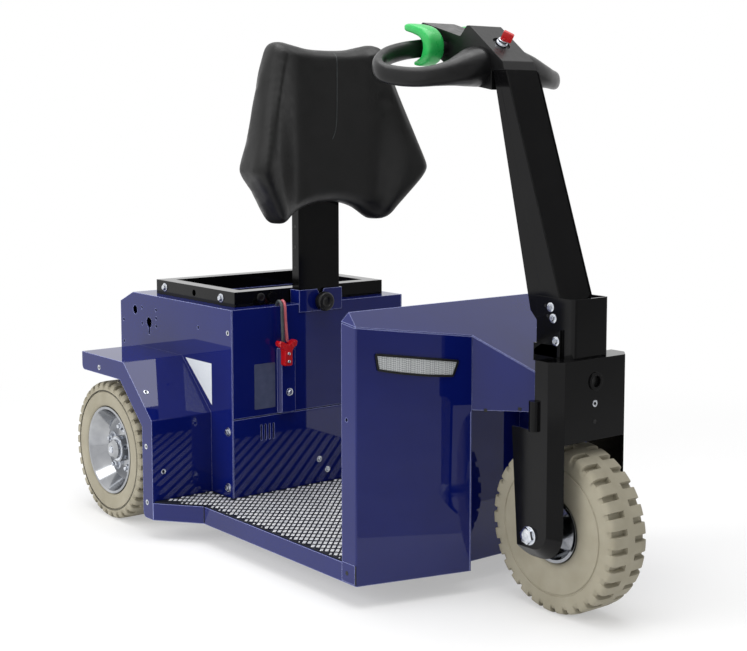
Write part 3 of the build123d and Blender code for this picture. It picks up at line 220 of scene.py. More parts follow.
# Solid moulded non-marking tyre: beige-grey rubber, matt, a little stained
beige_rubber = surface(
    "moulded_non_marking_rubber_beige", "#948e7c", "#a19b89", 90, 0.75, 2.2, 0.10, 1.2, {"IOR": 1.5})

# Glass-filled nylon, injection moulded: black with a fine spark-eroded grain that makes a soft sheen
black_nylon = surface(
    "moulded_glass_filled_nylon_black", "#0c0c0d", "#111112", 45, 0.34, 1.4, 0.02, 1.5, {"IOR": 1.42})

# Integral-skin polyurethane foam: black, with a leathery fine grain and broad soft lights
pad_skin = surface(
    "moulded_integral_skin_foam_black", "#0c0c0c", "#111111", 60, 0.4, 1.6, 0.05, 0.0, {"IOR": 1.4})

# Polycarbonate, injection moulded: clear strong red with a gloss
red_plastic = surface(
    "moulded_polycarbonate_red", "#b40c10", "#c81216", 45, 0.25, 1.5, 0.01, 1.0, {"IOR": 1.58})

# ABS, injection moulded: light green with a silky gloss
green_plastic = surface(
    "moulded_abs_green", "#22a84c", "#2ab357", 45, 0.32, 1.5, 0.015, 1.0, {"IOR": 1.54})

# Polypropylene battery case, injection moulded: dark grey and matt
battery_plastic = surface(
    "moulded_polypropylene_dark_grey", "#2a2a2c", "#343437", 45, 0.55, 1.5, 0.05, 1.0, {"IOR": 1.49})

# Cast iron of the drive axle, brush painted: the sand's roughness shows through
cast_iron = surface("painted_cast_iron_black", "#1d1d1e", "#282829", 45, 0.55, 2.5, 0.25, 1.0, {"IOR": 1.5})

# Extruded PVC cable sheaths: matt and slightly waxy
grey_sheath = surface(
    "extruded_pvc_sheath_grey", "#34393a", "#414748", 12, 0.4, 2.0, 0.03, 0.0, {"IOR": 1.53})
red_sheath = surface(
    "extruded_pvc_sheath_red", "#b8505c", "#c8626c", 12, 0.4, 2.0, 0.03, 0.0, {"IOR": 1.53})

# Flash that the mould left on the pad's skin: a matt grey line, its grey a painted highlight of the black
# line's sheen
flash_painted_highlight = surface(
    "moulded_foam_flash_painted_highlight_grey", "#34393a", "#414748", 12, 0.4, 2.0, 0.03, 0.0, {"IOR": 1.53})

# Anodised aluminium plate: grey, satin, with the roller's faint lay
label_metal = surface(
    "anodised_aluminium_plate", "#424964", "#4b526d", 20, 0.35, 1.5, 0.01, 0.4, {"IOR": 1.5})


def reflective_film():
    """Glass-bead reflective film: white, with a honeycomb of sealed cells, drawn coarser to show."""
    material, tree, shader, place = new_material("glass_bead_film_white", {"Roughness": 0.35, "IOR": 1.5})
    cells = add_node(tree, "ShaderNodeTexVoronoi", {
        "feature": "DISTANCE_TO_EDGE", "Scale": per_mm(4.0)}, {"Vector": place})
    ramp = add_node(tree, "ShaderNodeValToRGB", {}, {"Fac": cells.outputs["Distance"]})
    ramp.color_ramp.elements[0].color = linear("#c9ced3")
    ramp.color_ramp.elements[1].color = linear("#e0e4e7")
    ramp.color_ramp.elements[1].position = 0.12
    tree.links.new(ramp.outputs["Color"], shader.inputs["Base Color"])
    return material


def headlight_lens():
    """Moulded polycarbonate lens with prisms on its back: pale grey in a lozenge pattern of painted glints
    and shade, which stand in for the light that the prisms catch.

    The prisms are drawn 3 mm wide, coarser than they are, so that they show.
    """
    material, tree, shader, place = new_material("prismatic_polycarbonate_lens", {
        "Roughness": 0.22, "IOR": 1.58, "Coat Weight": 1.0, "Coat Roughness": 0.05})
    turn = add_node(tree, "ShaderNodeMapping", {"Rotation": (math.radians(45), 0, 0)}, {"Vector": place})
    # Painted light: the prisms' two greys stand in for their glints and shade
    prisms = add_node(tree, "ShaderNodeTexChecker", {
        "Scale": per_mm(3.0), "Color1": linear("#8d9192"), "Color2": linear("#c9cccd")},
        {"Vector": turn.outputs["Vector"]})
    tree.links.new(prisms.outputs["Color"], shader.inputs["Base Color"])
    bump = add_node(tree, "ShaderNodeBump", {"Strength": 0.6, "Distance": 0.4 * MM},
                    {"Height": prisms.outputs["Fac"]})
    tree.links.new(bump.outputs["Normal"], shader.inputs["Normal"])
    return material


white_film = reflective_film()
finishes = {
    navy_paint: (
        "platform_tray", "box_side_right", "box_side_left", "box_front_upper", "box_front_lower",
        "box_rear_panel", "box_top_plate", "fender_right", "fender_left", "post_sleeve", "connector_bracket",
        "front_panel_right", "front_panel_left", "hood", "dash_rear_wall", "well_wall", "neck"),
    black_coat: (
        "ladder_frame", "top_frame", "battery_shelf", "tow_hitch", "head_tube", "backrest_post", "fork",
        "column_bracket", "column_channel", "column_cover"),
    valley_metal_painted_shade: ("tread_plate",),
    zinc_plate: ("kingpin", "front_axle_bolt"),
    rim_silver: ("front_rim", "rear_rim_right", "rear_rim_left"),
    beige_rubber: ("front_tyre", "rear_tyre_right", "rear_tyre_left"),
    black_nylon: ("clamp_knob", "tiller_head", "loop_grips", "headlight_bezels"),
    pad_skin: ("backrest_pad",),
    red_plastic: ("battery_connector", "stop_button", "key_switch"),
    green_plastic: ("throttle_wings",),
    battery_plastic: ("battery_block",),
    cast_iron: ("drive_axle",),
    headlight_lens(): ("headlight_lenses",),
    grey_sheath: ("battery_cables",),
}
for finish, names in finishes.items():
    for name in names:
        nodes[name].data.materials.clear()
        nodes[name].data.materials.append(finish)


# Forms

def make_piece(name, shape, material, body, crease=40):
    """New object from a shape's points and faces, which rides on a body and takes a slot's finish."""
    points, faces = shape
    mesh = bpy.data.meshes.new(name)
    mesh.from_pydata([tuple(point) for point in points], [], faces)
    form = bmesh.new()
    form.from_mesh(mesh)
    bmesh.ops.recalc_face_normals(form, faces=form.faces)
    form.to_mesh(mesh)
    form.free()
    mesh.shade_smooth()
    mesh.set_sharp_from_angle(angle=math.radians(crease))
    mesh.materials.append(material)
    piece = bpy.data.objects.new(name, mesh)
    bpy.context.scene.collection.objects.link(piece)
    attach(piece, body)
    return piece


def together(shapes):
    """Several shapes as one."""
    points, faces = [], []
    for more_points, more_faces in shapes:
        start = len(points)
        points += more_points
        faces += [tuple(start + k for k in face) for face in more_faces]
    return points, faces


def ringed(rings, closed=False):
    """Skin over rings of one count of points, with a face at each end unless the rings close."""
    points = [point for ring in rings for point in ring]
    count = len(rings[0])
    faces = []
    for k in range(len(rings) if closed else len(rings) - 1):
        here, there = k * count, (k + 1) % len(rings) * count
        for j in range(count):
            after = (j + 1) % count
            faces.append((here + j, here + after, there + after, there + j))
    if not closed:
        faces.append(tuple(reversed(range(count))))
        faces.append(tuple(range(len(points) - count, len(points))))
    return points, faces


def turned(place, axis, profile, sides=24):
    """Shape turned about an axis at a place, from pairs of radius and height in millimetres."""
    along = Vector(axis).normalized()
    across = along.orthogonal().normalized()
    third = along.cross(across)
    turns = [2 * math.pi * k / sides for k in range(sides)]
    return ringed([[
        place + (along * height + (across * math.cos(turn) + third * math.sin(turn)) * radius) * MM
        for turn in turns] for radius, height in profile])


def slab(outline, depth):
    """Plate from the points of its outline, thickened along a vector."""
    return ringed([list(outline), [point + depth for point in outline]])


def share_of(value):
    """A value held between nought and one."""
    return min(max(value, 0), 1)


def side_plate(side, y, depth, corners):
    """Upright plate on the right, at -1, or the left, at 1, from pairs of x and z, thickened outwards."""
    return slab([at(x, side * y, z) for x, z in corners], Vector((0, side * depth * MM, 0)))


def oblong(x0, x1, z0, z1):
    """Corners of an oblong, as pairs of x and z."""
    return (x0, z0), (x1, z0), (x1, z1), (x0, z1)


def rounded(a0, a1, b0, b1, radius):
    """Outline of an oblong with rounded corners, as pairs of numbers."""
    outline = []
    for a, b, start in ((a1 - radius, b1 - radius, 0), (a0 + radius, b1 - radius, 90),
                        (a0 + radius, b0 + radius, 180), (a1 - radius, b0 + radius, 270)):
        for k in range(5):
            turn = math.radians(start + 22.5 * k)
            outline.append((a + radius * math.cos(turn), b + radius * math.sin(turn)))
    return outline


def smooth_line(knots, steps):
    """Rows on an even curve through the given rows, whatever numbers each holds."""
    rows = np.array([knots[0]] + list(knots) + [knots[-1]], dtype=float)
    line = []
    for a, b, c, d in zip(rows, rows[1:], rows[2:], rows[3:]):
        for t in np.linspace(0, 1, steps, endpoint=False):
            line.append(b + (c - a) * t / 2 + (a - 2.5 * b + 2 * c - d / 2) * t ** 2
                        + (1.5 * b - a / 2 - 1.5 * c + d / 2) * t ** 3)
    line.append(rows[-1])
    return np.array(line)


def swept_bar(line, sides, squareness, across=None):
    """Bar along rows of place, half width and half height; its section is an oval at 2 and boxy above."""
    places = [at(*row[:3]) for row in line]
    rings = []
    for k, row in enumerate(line):
        along = (places[min(k + 1, len(line) - 1)] - places[max(k - 1, 0)]).normalized()
        side = Vector(across) if across else along.cross(Vector((0, 0, 1))).normalized()
        rise = side.cross(along).normalized()
        ring = []
        for j in range(sides):
            c, s = math.cos(2 * math.pi * j / sides), math.sin(2 * math.pi * j / sides)
            wide = math.copysign(abs(c) ** (2 / squareness), c) * row[3] * MM
            high = math.copysign(abs(s) ** (2 / squareness), s) * row[4] * MM
            ring.append(places[k] + side * wide + rise * high)
        rings.append(ring)
    return ringed(rings)


def hex_bolt(place, axis, across):
    """Hexagon head on a washer, by its size across the flats."""
    corner = across / 3 ** 0.5
    washer = turned(place, axis, [
        (across * 0.95, 0), (across * 0.95, 1.2), (across * 0.9, 1.6), (corner, 1.6)], 28)
    head = turned(place, axis, [
        (corner, 1.4), (corner, across * 0.5), (corner * 0.86, across * 0.6),
        (corner * 0.5, across * 0.6)], 6)
    return together([washer, head])


def eyelet(place, axis, radius):
    """Rivet nut's flange, a raised ring round its hole."""
    return turned(place, axis, [
        (radius, 0), (radius, 0.7), (radius * 0.9, 1.1), (radius * 0.66, 1.1), (radius * 0.56, 0.6),
        (radius * 0.5, 0.3)], 24)


def hole(place, axis, radius):
    """Painted shade in a hole: a dark disc a hair above the face that it is in."""
    return turned(place, axis, [(radius, 0), (radius, 0.35), (radius * 0.6, 0.3)], 20)


# Battery cables, which come up through the top plate and go down to the connector

CABLE_REAR, CABLE_FRONT = 358, 398
CABLE_START, CABLE_TOP, CABLE_END = 558, 616, 510
CABLE_STRAIGHT = CABLE_TOP - (CABLE_FRONT - CABLE_REAR)
CABLE_RADIUS = 4.5


def battery_cable(name, y, fall_y, end_y, sheath):
    """One cable as a smooth line, with a point that keeps its long fall straight.

    Its top points were moved from the solid's route, down and to the right.
    """
    curve = bpy.data.curves.new(name, "CURVE")
    curve.dimensions = "3D"
    curve.bevel_depth = CABLE_RADIUS * MM
    curve.bevel_resolution = 5
    curve.resolution_u = 24
    curve.use_fill_caps = True
    route = [at(CABLE_REAR, y, CABLE_START), at(CABLE_REAR, y, CABLE_TOP),
             at(CABLE_FRONT, fall_y, CABLE_TOP), at(CABLE_FRONT, fall_y, CABLE_STRAIGHT),
             at(CABLE_FRONT, end_y, CABLE_END)]
    spline = curve.splines.new("NURBS")
    spline.points.add(len(route) - 1)
    for point, place in zip(spline.points, route):
        point.co = (*place, 1.0)
    spline.order_u = 3
    spline.use_endpoint_u = True
    curve.materials.append(sheath)
    cable = bpy.data.objects.new(name, curve)
    bpy.context.scene.collection.objects.link(cable)
    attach(cable, "chassis")
    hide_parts("battery_cables")


battery_cable("battery_cable_grey", -135.5, -143, -141, grey_sheath)
battery_cable("battery_cable_red", -121.5, -134, -128, red_sheath)


# Tyres: solid rubber with notches moulded into both shoulders

NOTCH_HALF = 6.5
NOTCH_LIP = 1.0
NOTCH_WALL = 0.4
NOTCH_DEPTH = 12.0
NOTCH_SIDE_DEPTH = 5.0
NOTCH_SIDE_REACH = 21.0
NOTCH_SIDE_FADE = 8.0
SIDE_GROOVE_SHARE = 0.62


def notched_tyre(name, body, node, middle, half, rim, lugs, turns, reach):
    """Tyre of a half width on a rim, whose notches start at one angle on its right and one on its left."""
    radius = TYRE_RADIUS / MM
    groove = rim + SIDE_GROOVE_SHARE * (radius - rim)
    side = [
        (0, radius), (half - reach - 1, radius), (half - reach + 1, radius), (half - 18, radius - 0.2),
        (half - 11, radius - 0.8), (half - 6.5, radius - 2.3), (half - 3, radius - 5),
        (half - 0.9, radius - 9), (half - 0.1, radius - 14), (half, radius - 18), (half, radius - 22),
        (half - 0.2, radius - 27), (half, groove + 3), (half - 2.4, groove + 1.2),
        (half - 2.4, groove - 1.2), (half, groove - 3), (half - 0.4, rim + 13), (half - 2, rim + 6),
        (half - 6, rim + 2), (half - 16, rim + 0.5)]
    profile = [(-a, r, 0) for a, r in reversed(side[1:])] + [(a, r, 1) for a, r in side]
    pitch = 360 / lugs
    mm_turn = math.degrees(1 / radius)
    offsets = (-NOTCH_HALF - NOTCH_LIP, -NOTCH_HALF + NOTCH_WALL, 0, NOTCH_HALF - NOTCH_WALL,
               NOTCH_HALF + NOTCH_LIP)
    steps = set()
    for lug in range(lugs):
        for turn in turns:
            for offset in offsets:
                steps.add(round((turn + lug * pitch + offset * mm_turn) % 360, 4))
        steps.add(round((turns[0] + (lug + 0.5) * pitch) % 360, 4))
    rings = []
    for step in sorted(steps):
        turn = math.radians(step)
        ring = []
        for a, r, left in profile:
            away = (step - turns[left] + pitch / 2) % pitch - pitch / 2
            reached = abs(a)
            if abs(away) < NOTCH_HALF * mm_turn and reached > half - reach:
                deep = share_of((r - radius + NOTCH_SIDE_REACH) / NOTCH_SIDE_FADE)
                reached = min(reached, half - NOTCH_SIDE_DEPTH * deep)
                r = min(r, radius - NOTCH_DEPTH)
            ring.append(middle + Vector((
                r * math.cos(turn), math.copysign(reached, a), r * math.sin(turn))) * MM)
        rings.append(ring)
    tyre = make_piece(name, ringed(rings, closed=True), beige_rubber, body, 50)
    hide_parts(node)


notched_tyre("front_tyre_rubber", "front_wheel", "front_tyre", Vector((FRONT_X, 0, AXLE_Z)),
             half=54, rim=74, lugs=30, turns=(9, 3), reach=42)
for side, word in SIDE_WORDS:
    notched_tyre(f"rear_tyre_rubber_{word}", f"rear_wheel_{word}", f"rear_tyre_{word}",
                 Vector((REAR_X, side * REAR_HALF_TRACK, AXLE_Z)),
                 half=56, rim=120, lugs=36, turns=(5, 5), reach=26)


# Wheels: nuts on their studs, the hub cap's plug and collar, and the front axle's nuts

STUDS = 5
STUD_START = 18
STUD_CIRCLE = 62
DISH_FLOOR = 7
COLLAR_SEAT = 29
CAP_END = 46
FRONT_AXLE_X = 1312
FORK_HALF = 120

for side, word in SIDE_WORDS:
    hub = Vector((REAR_X, side * REAR_HALF_TRACK, AXLE_Z))
    outward = Vector((0, side, 0))
    fasteners = []
    for k in range(STUDS):
        turn = math.radians(STUD_START + 360 / STUDS * k)
        stud = hub + Vector((
            STUD_CIRCLE * math.cos(turn), side * DISH_FLOOR, STUD_CIRCLE * math.sin(turn))) * MM
        fasteners.append(hex_bolt(stud, outward, 19))
        fasteners.append(turned(stud, outward, [(6, 10), (6, 17), (4.8, 18.5)], 16))
    fasteners.append(turned(hub + outward * CAP_END * MM, outward, [
        (10, 0), (10, 1.6), (8.5, 2.6), (6.5, 2.6), (5.8, 1.4)], 28))
    fasteners.append(turned(hub + outward * COLLAR_SEAT * MM, outward, [
        (33, 0), (33, 1.5), (31.5, 2.4), (27.2, 2.4)], 48))
    make_piece(f"rear_wheel_nuts_{word}", together(fasteners), zinc_plate, f"rear_wheel_{word}")

axle_nuts = []
for side in RIGHT_LEFT:
    end = at(FRONT_AXLE_X, side * FORK_HALF, AXLE_Z / MM)
    axle_nuts.append(turned(end, (0, side, 0), [(21, 0), (21, 2), (19.5, 2.8), (15, 2.8)], 32))
    axle_nuts.append(turned(end, (0, side, 0), [(18.6, 2.6), (18.6, 11), (16.5, 12.5), (10, 12.5)], 6))
make_piece("front_axle_nuts", together(axle_nuts), zinc_plate, "steering")


# Tread plate: lozenges rolled at 45 degrees to the machine

LOZENGE_LONG_PITCH, LOZENGE_WIDE_PITCH = 28.0, 12.5
LOZENGE_LONG, LOZENGE_WIDE = 18.0, 8.4
LOZENGE_SLOPE = 0.8
LOZENGE_RISE = 0.5
LEAST_SHARE = 0.3
PLATE_TOP = 103.0
PLATE_REAR, PLATE_FRONT = 270, 976
PLATE_HALF, PLATE_REAR_HALF = 378, 461.5
TAPER_START, TAPER_SLOPE = 269, 83.5 / 108.5
BOX_EDGE_X, BOX_EDGE_Y = 374, 287
PLATE_MIDDLE = 620


def lozenge_room(x, y):
    """How far a place on the plate is from its edges, the box and the dash."""
    half = PLATE_REAR_HALF if x < TAPER_START else max(
        PLATE_HALF, PLATE_REAR_HALF - TAPER_SLOPE * (x - TAPER_START))
    return min(half - abs(y), PLATE_FRONT - x, x - PLATE_REAR, max(x - BOX_EDGE_X, abs(y) - BOX_EDGE_Y))


def tread_lozenges():
    """Low pyramids without tips, longer than wide, and smaller where an edge cuts into their row."""
    shapes = []
    slant = 0.5 ** 0.5
    full_room = (LOZENGE_LONG + LOZENGE_WIDE) / 2 * slant
    for row in range(-40, 41):
        for column in range(-60, 61):
            along, across = row * LOZENGE_LONG_PITCH, column * LOZENGE_WIDE_PITCH
            x, y = PLATE_MIDDLE + (along + across) * slant, (across - along) * slant
            share = min(1, lozenge_room(x, y) / full_room)
            if share < LEAST_SHARE:
                continue
            rings = []
            for inset, z in ((0, 0), (LOZENGE_SLOPE, LOZENGE_RISE)):
                a = (LOZENGE_LONG / 2 - inset) * slant * share
                b = (LOZENGE_WIDE / 2 - inset) * slant * share
                rings.append([at(x + p * a + q * b, y - p * a + q * b, PLATE_TOP + z)
                              for p, q in ((1, 1), (1, -1), (-1, -1), (-1, 1))])
            shapes.append(ringed(rings))
    return together(shapes)


make_piece("tread_lozenges", tread_lozenges(), lozenge_metal, "chassis", 20)


# Backrest cushion: a dished pad with thick sides, swelled as foam under its skin

POST_FRONT = 368
CUSHION_FRONT = 436
CUSHION_TOP = smooth_line([
    (0, 1284), (60, 1286), (110, 1295), (150, 1301), (176, 1293), (192, 1256), (220, 1162), (254, 1048),
    (274, 992), (281, 968)], 8)
CUSHION_FOOT = smooth_line([
    (0, 873), (50, 868), (95, 854), (130, 835), (152, 824), (170, 823), (185, 832), (204, 862), (236, 908),
    (268, 946), (281, 966)], 8)
CUSHION_COLUMNS = np.linspace(-280, 280, 113)
CUSHION_ROWS = np.linspace(0, 1, 84)
FRONT_ROUNDING, BACK_ROUNDING = 34, 16
WING_START, WING_WIDTH = 110, 150
WING_REACH_HIGH, WING_REACH_MORE = 26, 52
WING_HIGH, WING_FALL = 1290, 320
BACK_SLOPE_START, BACK_SLOPE = 200, 32 / 80
SWELL_LIMIT = 5


def to_outline(y, z):
    """Distance of a point of the pad from its outline, in millimetres."""
    right = np.vstack([CUSHION_TOP, CUSHION_FOOT[::-1]])
    starts, ends = right[:-1], right[1:]
    runs = ends - starts
    shares = ((np.array((abs(y), z)) - starts) * runs).sum(axis=1) / np.maximum((runs ** 2).sum(axis=1), 1e-9)
    nearest = starts + np.clip(shares, 0, 1)[:, None] * runs
    return np.hypot(nearest[:, 0] - abs(y), nearest[:, 1] - z).min()


def rounding(distance, radius):
    """How far a rounded edge draws a face back, at a distance from the outline."""
    return radius - math.sqrt(radius ** 2 - max(radius - distance, 0) ** 2)


def cushion_start():
    """Dished block with the pad's outline and round edges, as columns of points on front and back."""
    columns = []
    for y in CUSHION_COLUMNS:
        low = np.interp(abs(y), CUSHION_FOOT[:, 0], CUSHION_FOOT[:, 1])
        high = np.interp(abs(y), CUSHION_TOP[:, 0], CUSHION_TOP[:, 1])
        wing = share_of((abs(y) - WING_START) / WING_WIDTH)
        back_x = POST_FRONT + BACK_SLOPE * max(abs(y) - BACK_SLOPE_START, 0)
        front, back = [], []
        for v in CUSHION_ROWS:
            z = low + (high - low) * v
            down = share_of((WING_HIGH - z) / WING_FALL)
            reach = (WING_REACH_HIGH + WING_REACH_MORE * down) * wing * wing * (3 - 2 * wing)
            edge = to_outline(y, z)
            front.append(at(CUSHION_FRONT + reach - rounding(edge, FRONT_ROUNDING), y, z))
            back.append(at(back_x + rounding(edge, BACK_ROUNDING), y, z))
        columns.append(front + back[::-1])
    return ringed(columns)


def settled(piece, kind, settings):
    """Adds a modifier with its settings and keeps its result as the piece's mesh."""
    change = piece.modifiers.new(kind.lower(), kind)
    for key, value in settings.items():
        setattr(change, key, value)
    view = bpy.context.evaluated_depsgraph_get()
    mesh = bpy.data.meshes.new_from_object(piece.evaluated_get(view))
    piece.modifiers.clear()
    piece.data = mesh


def swell(piece, limit):
    """Lets pressure swell the skin for twenty frames, and caps how far each point goes."""
    start = np.array([point.co[:] for point in piece.data.vertices])
    skin = piece.modifiers.new("skin", "CLOTH")
    skin.settings.use_pressure = True
    skin.settings.uniform_pressure_force = 4.0
    skin.settings.effector_weights.gravity = 0.0
    skin.settings.tension_stiffness = 25.0
    skin.settings.compression_stiffness = 25.0
    skin.settings.bending_stiffness = 20.0
    for step in range(1, 21):
        bpy.context.scene.frame_set(step)
    view = bpy.context.evaluated_depsgraph_get()
    mesh = bpy.data.meshes.new_from_object(piece.evaluated_get(view))
    piece.modifiers.clear()
    bpy.context.scene.frame_set(1)
    moved = np.array([point.co[:] for point in mesh.vertices]) - start
    reach = np.linalg.norm(moved, axis=1, keepdims=True)
    moved *= np.minimum(1, limit * MM / np.maximum(reach, 1e-9))
    mesh.vertices.foreach_set("co", (start + moved).ravel())
    piece.data = mesh


def backrest_cushion():
    """The pad on the post, flat only where the post carries it."""
    cushion = make_piece("backrest_cushion", cushion_start(), pad_skin, "backrest")
    settled(cushion, "REMESH", {"mode": "VOXEL", "voxel_size": 5 * MM})
    settled(cushion, "SMOOTH", {"factor": 0.5, "iterations": 6})
    swell(cushion, SWELL_LIMIT)
    settled(cushion, "SMOOTH", {"factor": 0.5, "iterations": 10})
    back = at(POST_FRONT, 0, 0).x
    for point in cushion.data.vertices:
        point.co.x = max(point.co.x, back)
    settled(cushion, "SUBSURF", {"levels": 1, "render_levels": 1})
    cushion.data.shade_smooth()
    cushion.data.materials.clear()
    cushion.data.materials.append(pad_skin)
    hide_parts("backrest_pad")
    return cushion


cushion = backrest_cushion()


def parting_line():
    """Thin line that the mould left down the middle of the pad, laid on its skin from ahead."""
    line = []
    for y, z in smooth_line([(9, 1274), (9, 1230), (9, 1170), (8, 1110), (4, 1070), (-6, 1045)], 8):
        hit, place, _, _ = cushion.ray_cast(at(700, y, z), Vector((-1, 0, 0)))
        if hit:
            line.append(((place.x - REAR_X) / MM, y, z, 0.8, 0.8))
    return swept_bar(line, 8, 2, (0, 1, 0))


make_piece("backrest_parting_line", parting_line(), flash_painted_highlight, "backrest")


# Tiller head: loop grips, throttle wings and key

# Rows of place, half width and half height
GRIP_LINE = smooth_line([
    (1052, 36, 1217, 50, 46), (1056, 62, 1215, 46, 45), (1064, 100, 1208, 35, 38),
    (1066, 140, 1200, 24, 29), (1058, 176, 1194, 17.5, 24), (1040, 211, 1190, 15.5, 22),
    (1012, 240, 1192, 15, 22), (980, 256, 1199, 15, 21.5), (948, 250, 1210, 15, 21),
    (920, 226, 1225, 15, 21), (901, 188, 1242, 15, 21), (893, 140, 1254, 15, 21),
    (896, 95, 1261, 15, 21), (906, 64, 1264, 16, 22), (913, 36, 1265, 18, 24)], 8)
WING_LINE = smooth_line([
    (855, 87, 1312, 13, 5), (866, 86, 1312, 21, 9.5), (894, 85, 1307, 25, 12), (920, 84, 1298, 25, 14),
    (937, 84, 1283, 25, 15.5), (942, 84, 1264, 25, 16), (938, 84, 1247, 25, 15), (926, 84, 1235, 23, 12),
    (908, 85, 1229, 20, 8.5), (890, 86, 1228, 13, 5)], 7)


def mirrored(line, side):
    """A line's rows on the right, at -1, or on the left, at 1."""
    rows = np.array(line, dtype=float)
    rows[:, 1] *= side
    return rows


grips = make_piece("moulded_loop_grips", together([
    swept_bar(mirrored(GRIP_LINE, side), 32, 2.2) for side in RIGHT_LEFT]),
    black_nylon, "steering")
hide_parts("loop_grips")
wings = make_piece("moulded_throttle_wings", together([
    swept_bar(mirrored(WING_LINE, side), 28, 3.5, (0, 1, 0)) for side in RIGHT_LEFT]),
    green_plastic, "steering", 60)
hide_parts("throttle_wings")
make_piece("throttle_bosses", together([
    turned(at(938, side * 47, 1262), (0, side, 0), [(17, 0), (17, 18), (14, 21), (14, 24)], 28)
    for side in RIGHT_LEFT]), black_nylon, "steering")

KEY_NORMAL = Vector((0.607, 0, 0.795))
KEY_ACROSS = Vector((0.589, 0.672, -0.450))
KEY_SUNK = 5
KEY_THICKNESS = 9
key_seat = at(1083, 0, 1269) - KEY_NORMAL * KEY_SUNK * MM
make_piece("key_barrel", turned(key_seat, KEY_NORMAL, [
    (14, 0), (14, 8), (13, 9.5), (11.5, 9.5), (11.5, 15), (10.5, 16), (6, 16), (5.5, 14.5)], 32),
    zinc_plate, "steering")


def on_key(along, up):
    """A place in the key's plane, counted from its seat."""
    return key_seat + (KEY_ACROSS * along + KEY_NORMAL * up) * MM


def key_bow():
    """Flat key handle with rounded corners, standing on its blade."""
    depth = KEY_ACROSS.cross(KEY_NORMAL).normalized() * KEY_THICKNESS * MM
    handle = slab([on_key(a, b) - depth * 0.5 for a, b in rounded(-8, 18, 16, 37, 3)], depth)
    blade = slab([on_key(a, b) + depth * 0.3 for a, b in oblong(-3, 3, 12, 20)], depth * 0.4)
    return together([handle, blade])


bow = make_piece("key_bow", key_bow(), red_plastic, "steering")
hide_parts("key_switch")


# Bolts, rivet nuts and screws

BOX_HALF = 286
BOX_FRONT = 373
TOP_FRAME_HALF = 248
FENDER_HALF = 467.5
SILL_HALF = 380
FORK_FRONT = 1390
COLUMN_HALF, COLUMN_FOOT_HALF = 54.5, 61.5
CONNECTOR_Y = -128.5
FORWARD = (1, 0, 0)
NECK_SLOTS_X = (1134, 1212)
NECK_SLOT_Z, NECK_CLIMB = 436, 0.14
NECK_SLOT_HALF_LONG, NECK_SLOT_HALF_HIGH, NECK_SLOT_PROUD = 4, 3.5, 0.6


def neck_slot(side, x):
    """Painted shade of a slot by the neck's lower edge: a dark sheet laid on its side face."""
    z = NECK_SLOT_Z + NECK_CLIMB * (x - NECK_SLOTS_X[0])
    _, place, out, _ = nodes["neck"].ray_cast(at(x, side * 300, z), Vector((0, -side, 0)))
    rise = Vector((0, 0, NECK_SLOT_HALF_HIGH * MM))
    along = out.cross(rise).normalized() * NECK_SLOT_HALF_LONG * MM
    return slab([place + rise + along, place + rise - along, place - rise - along, place - rise + along],
                out * NECK_SLOT_PROUD * MM)


zinc_chassis = []
dark_chassis = []
sill_laps = []
for side in RIGHT_LEFT:
    out = (0, side, 0)
    for x, y, z in ((-33, TOP_FRAME_HALF, 624), (264, TOP_FRAME_HALF, 622), (352, BOX_HALF, 278),
                    (350, BOX_HALF, 128)):
        zinc_chassis.append(hex_bolt(at(x, side * y, z), out, 13))
    for place, axis in (
        (at(355, side * BOX_HALF, 541), out), (at(-16, side * FENDER_HALF, 420), out),
        (at(239, side * FENDER_HALF, 245), out), (at(240, side * FENDER_HALF, 96), out),
        (at(200, side * 443, 380.4), (0.677, 0, 0.736)), (at(269, side * 434, 179), FORWARD),
    ):
        zinc_chassis.append(eyelet(place, axis, 7.3))
        dark_chassis.append(hole(place, axis, 3.6))
    dark_chassis.append(hole(at(997, side * (SILL_HALF + 2.2), 78), out, 5))
    # Painted shade: dark strips where the gaps by the sills show shade
    for x0, x1 in ((381, 384.5), (1027, 1029.2)):
        dark_chassis.append(side_plate(side, SILL_HALF, 2, oblong(x0, x1, 57, 101)))
    sill_laps.append(side_plate(side, SILL_HALF + 0.5, 1.7, oblong(978, 1026, 57, 102)))
for x, y, z, across in ((BOX_FRONT, -6, 168, 9), (BOX_FRONT, 22, 135, 9), (387, -113, 370, 11)):
    zinc_chassis.append(hex_bolt(at(x, y, z), FORWARD, across))
for z in (478, 457):
    zinc_chassis.append(turned(at(408, CONNECTOR_Y, z), FORWARD, [
        (4.6, 0), (4.6, 1.4), (3.8, 2.4), (1.8, 2.6), (1.5, 1.6)], 20))
dark_chassis += [neck_slot(side, x) for side in RIGHT_LEFT for x in NECK_SLOTS_X]
make_piece("zinc_fasteners", together(zinc_chassis), zinc_plate, "chassis")
dark_chassis.append(turned(at(330, -165, 623), FORWARD, [
    (13, 0), (13, 3), (11.5, 4.4), (7, 4.8), (6, 3.6)], 32))
# The painted shade in holes, gaps and slots goes into this piece
make_piece("rivet_nut_holes", together(dark_chassis), black_nylon, "chassis")
make_piece("sill_laps", together(sill_laps), navy_paint, "chassis")

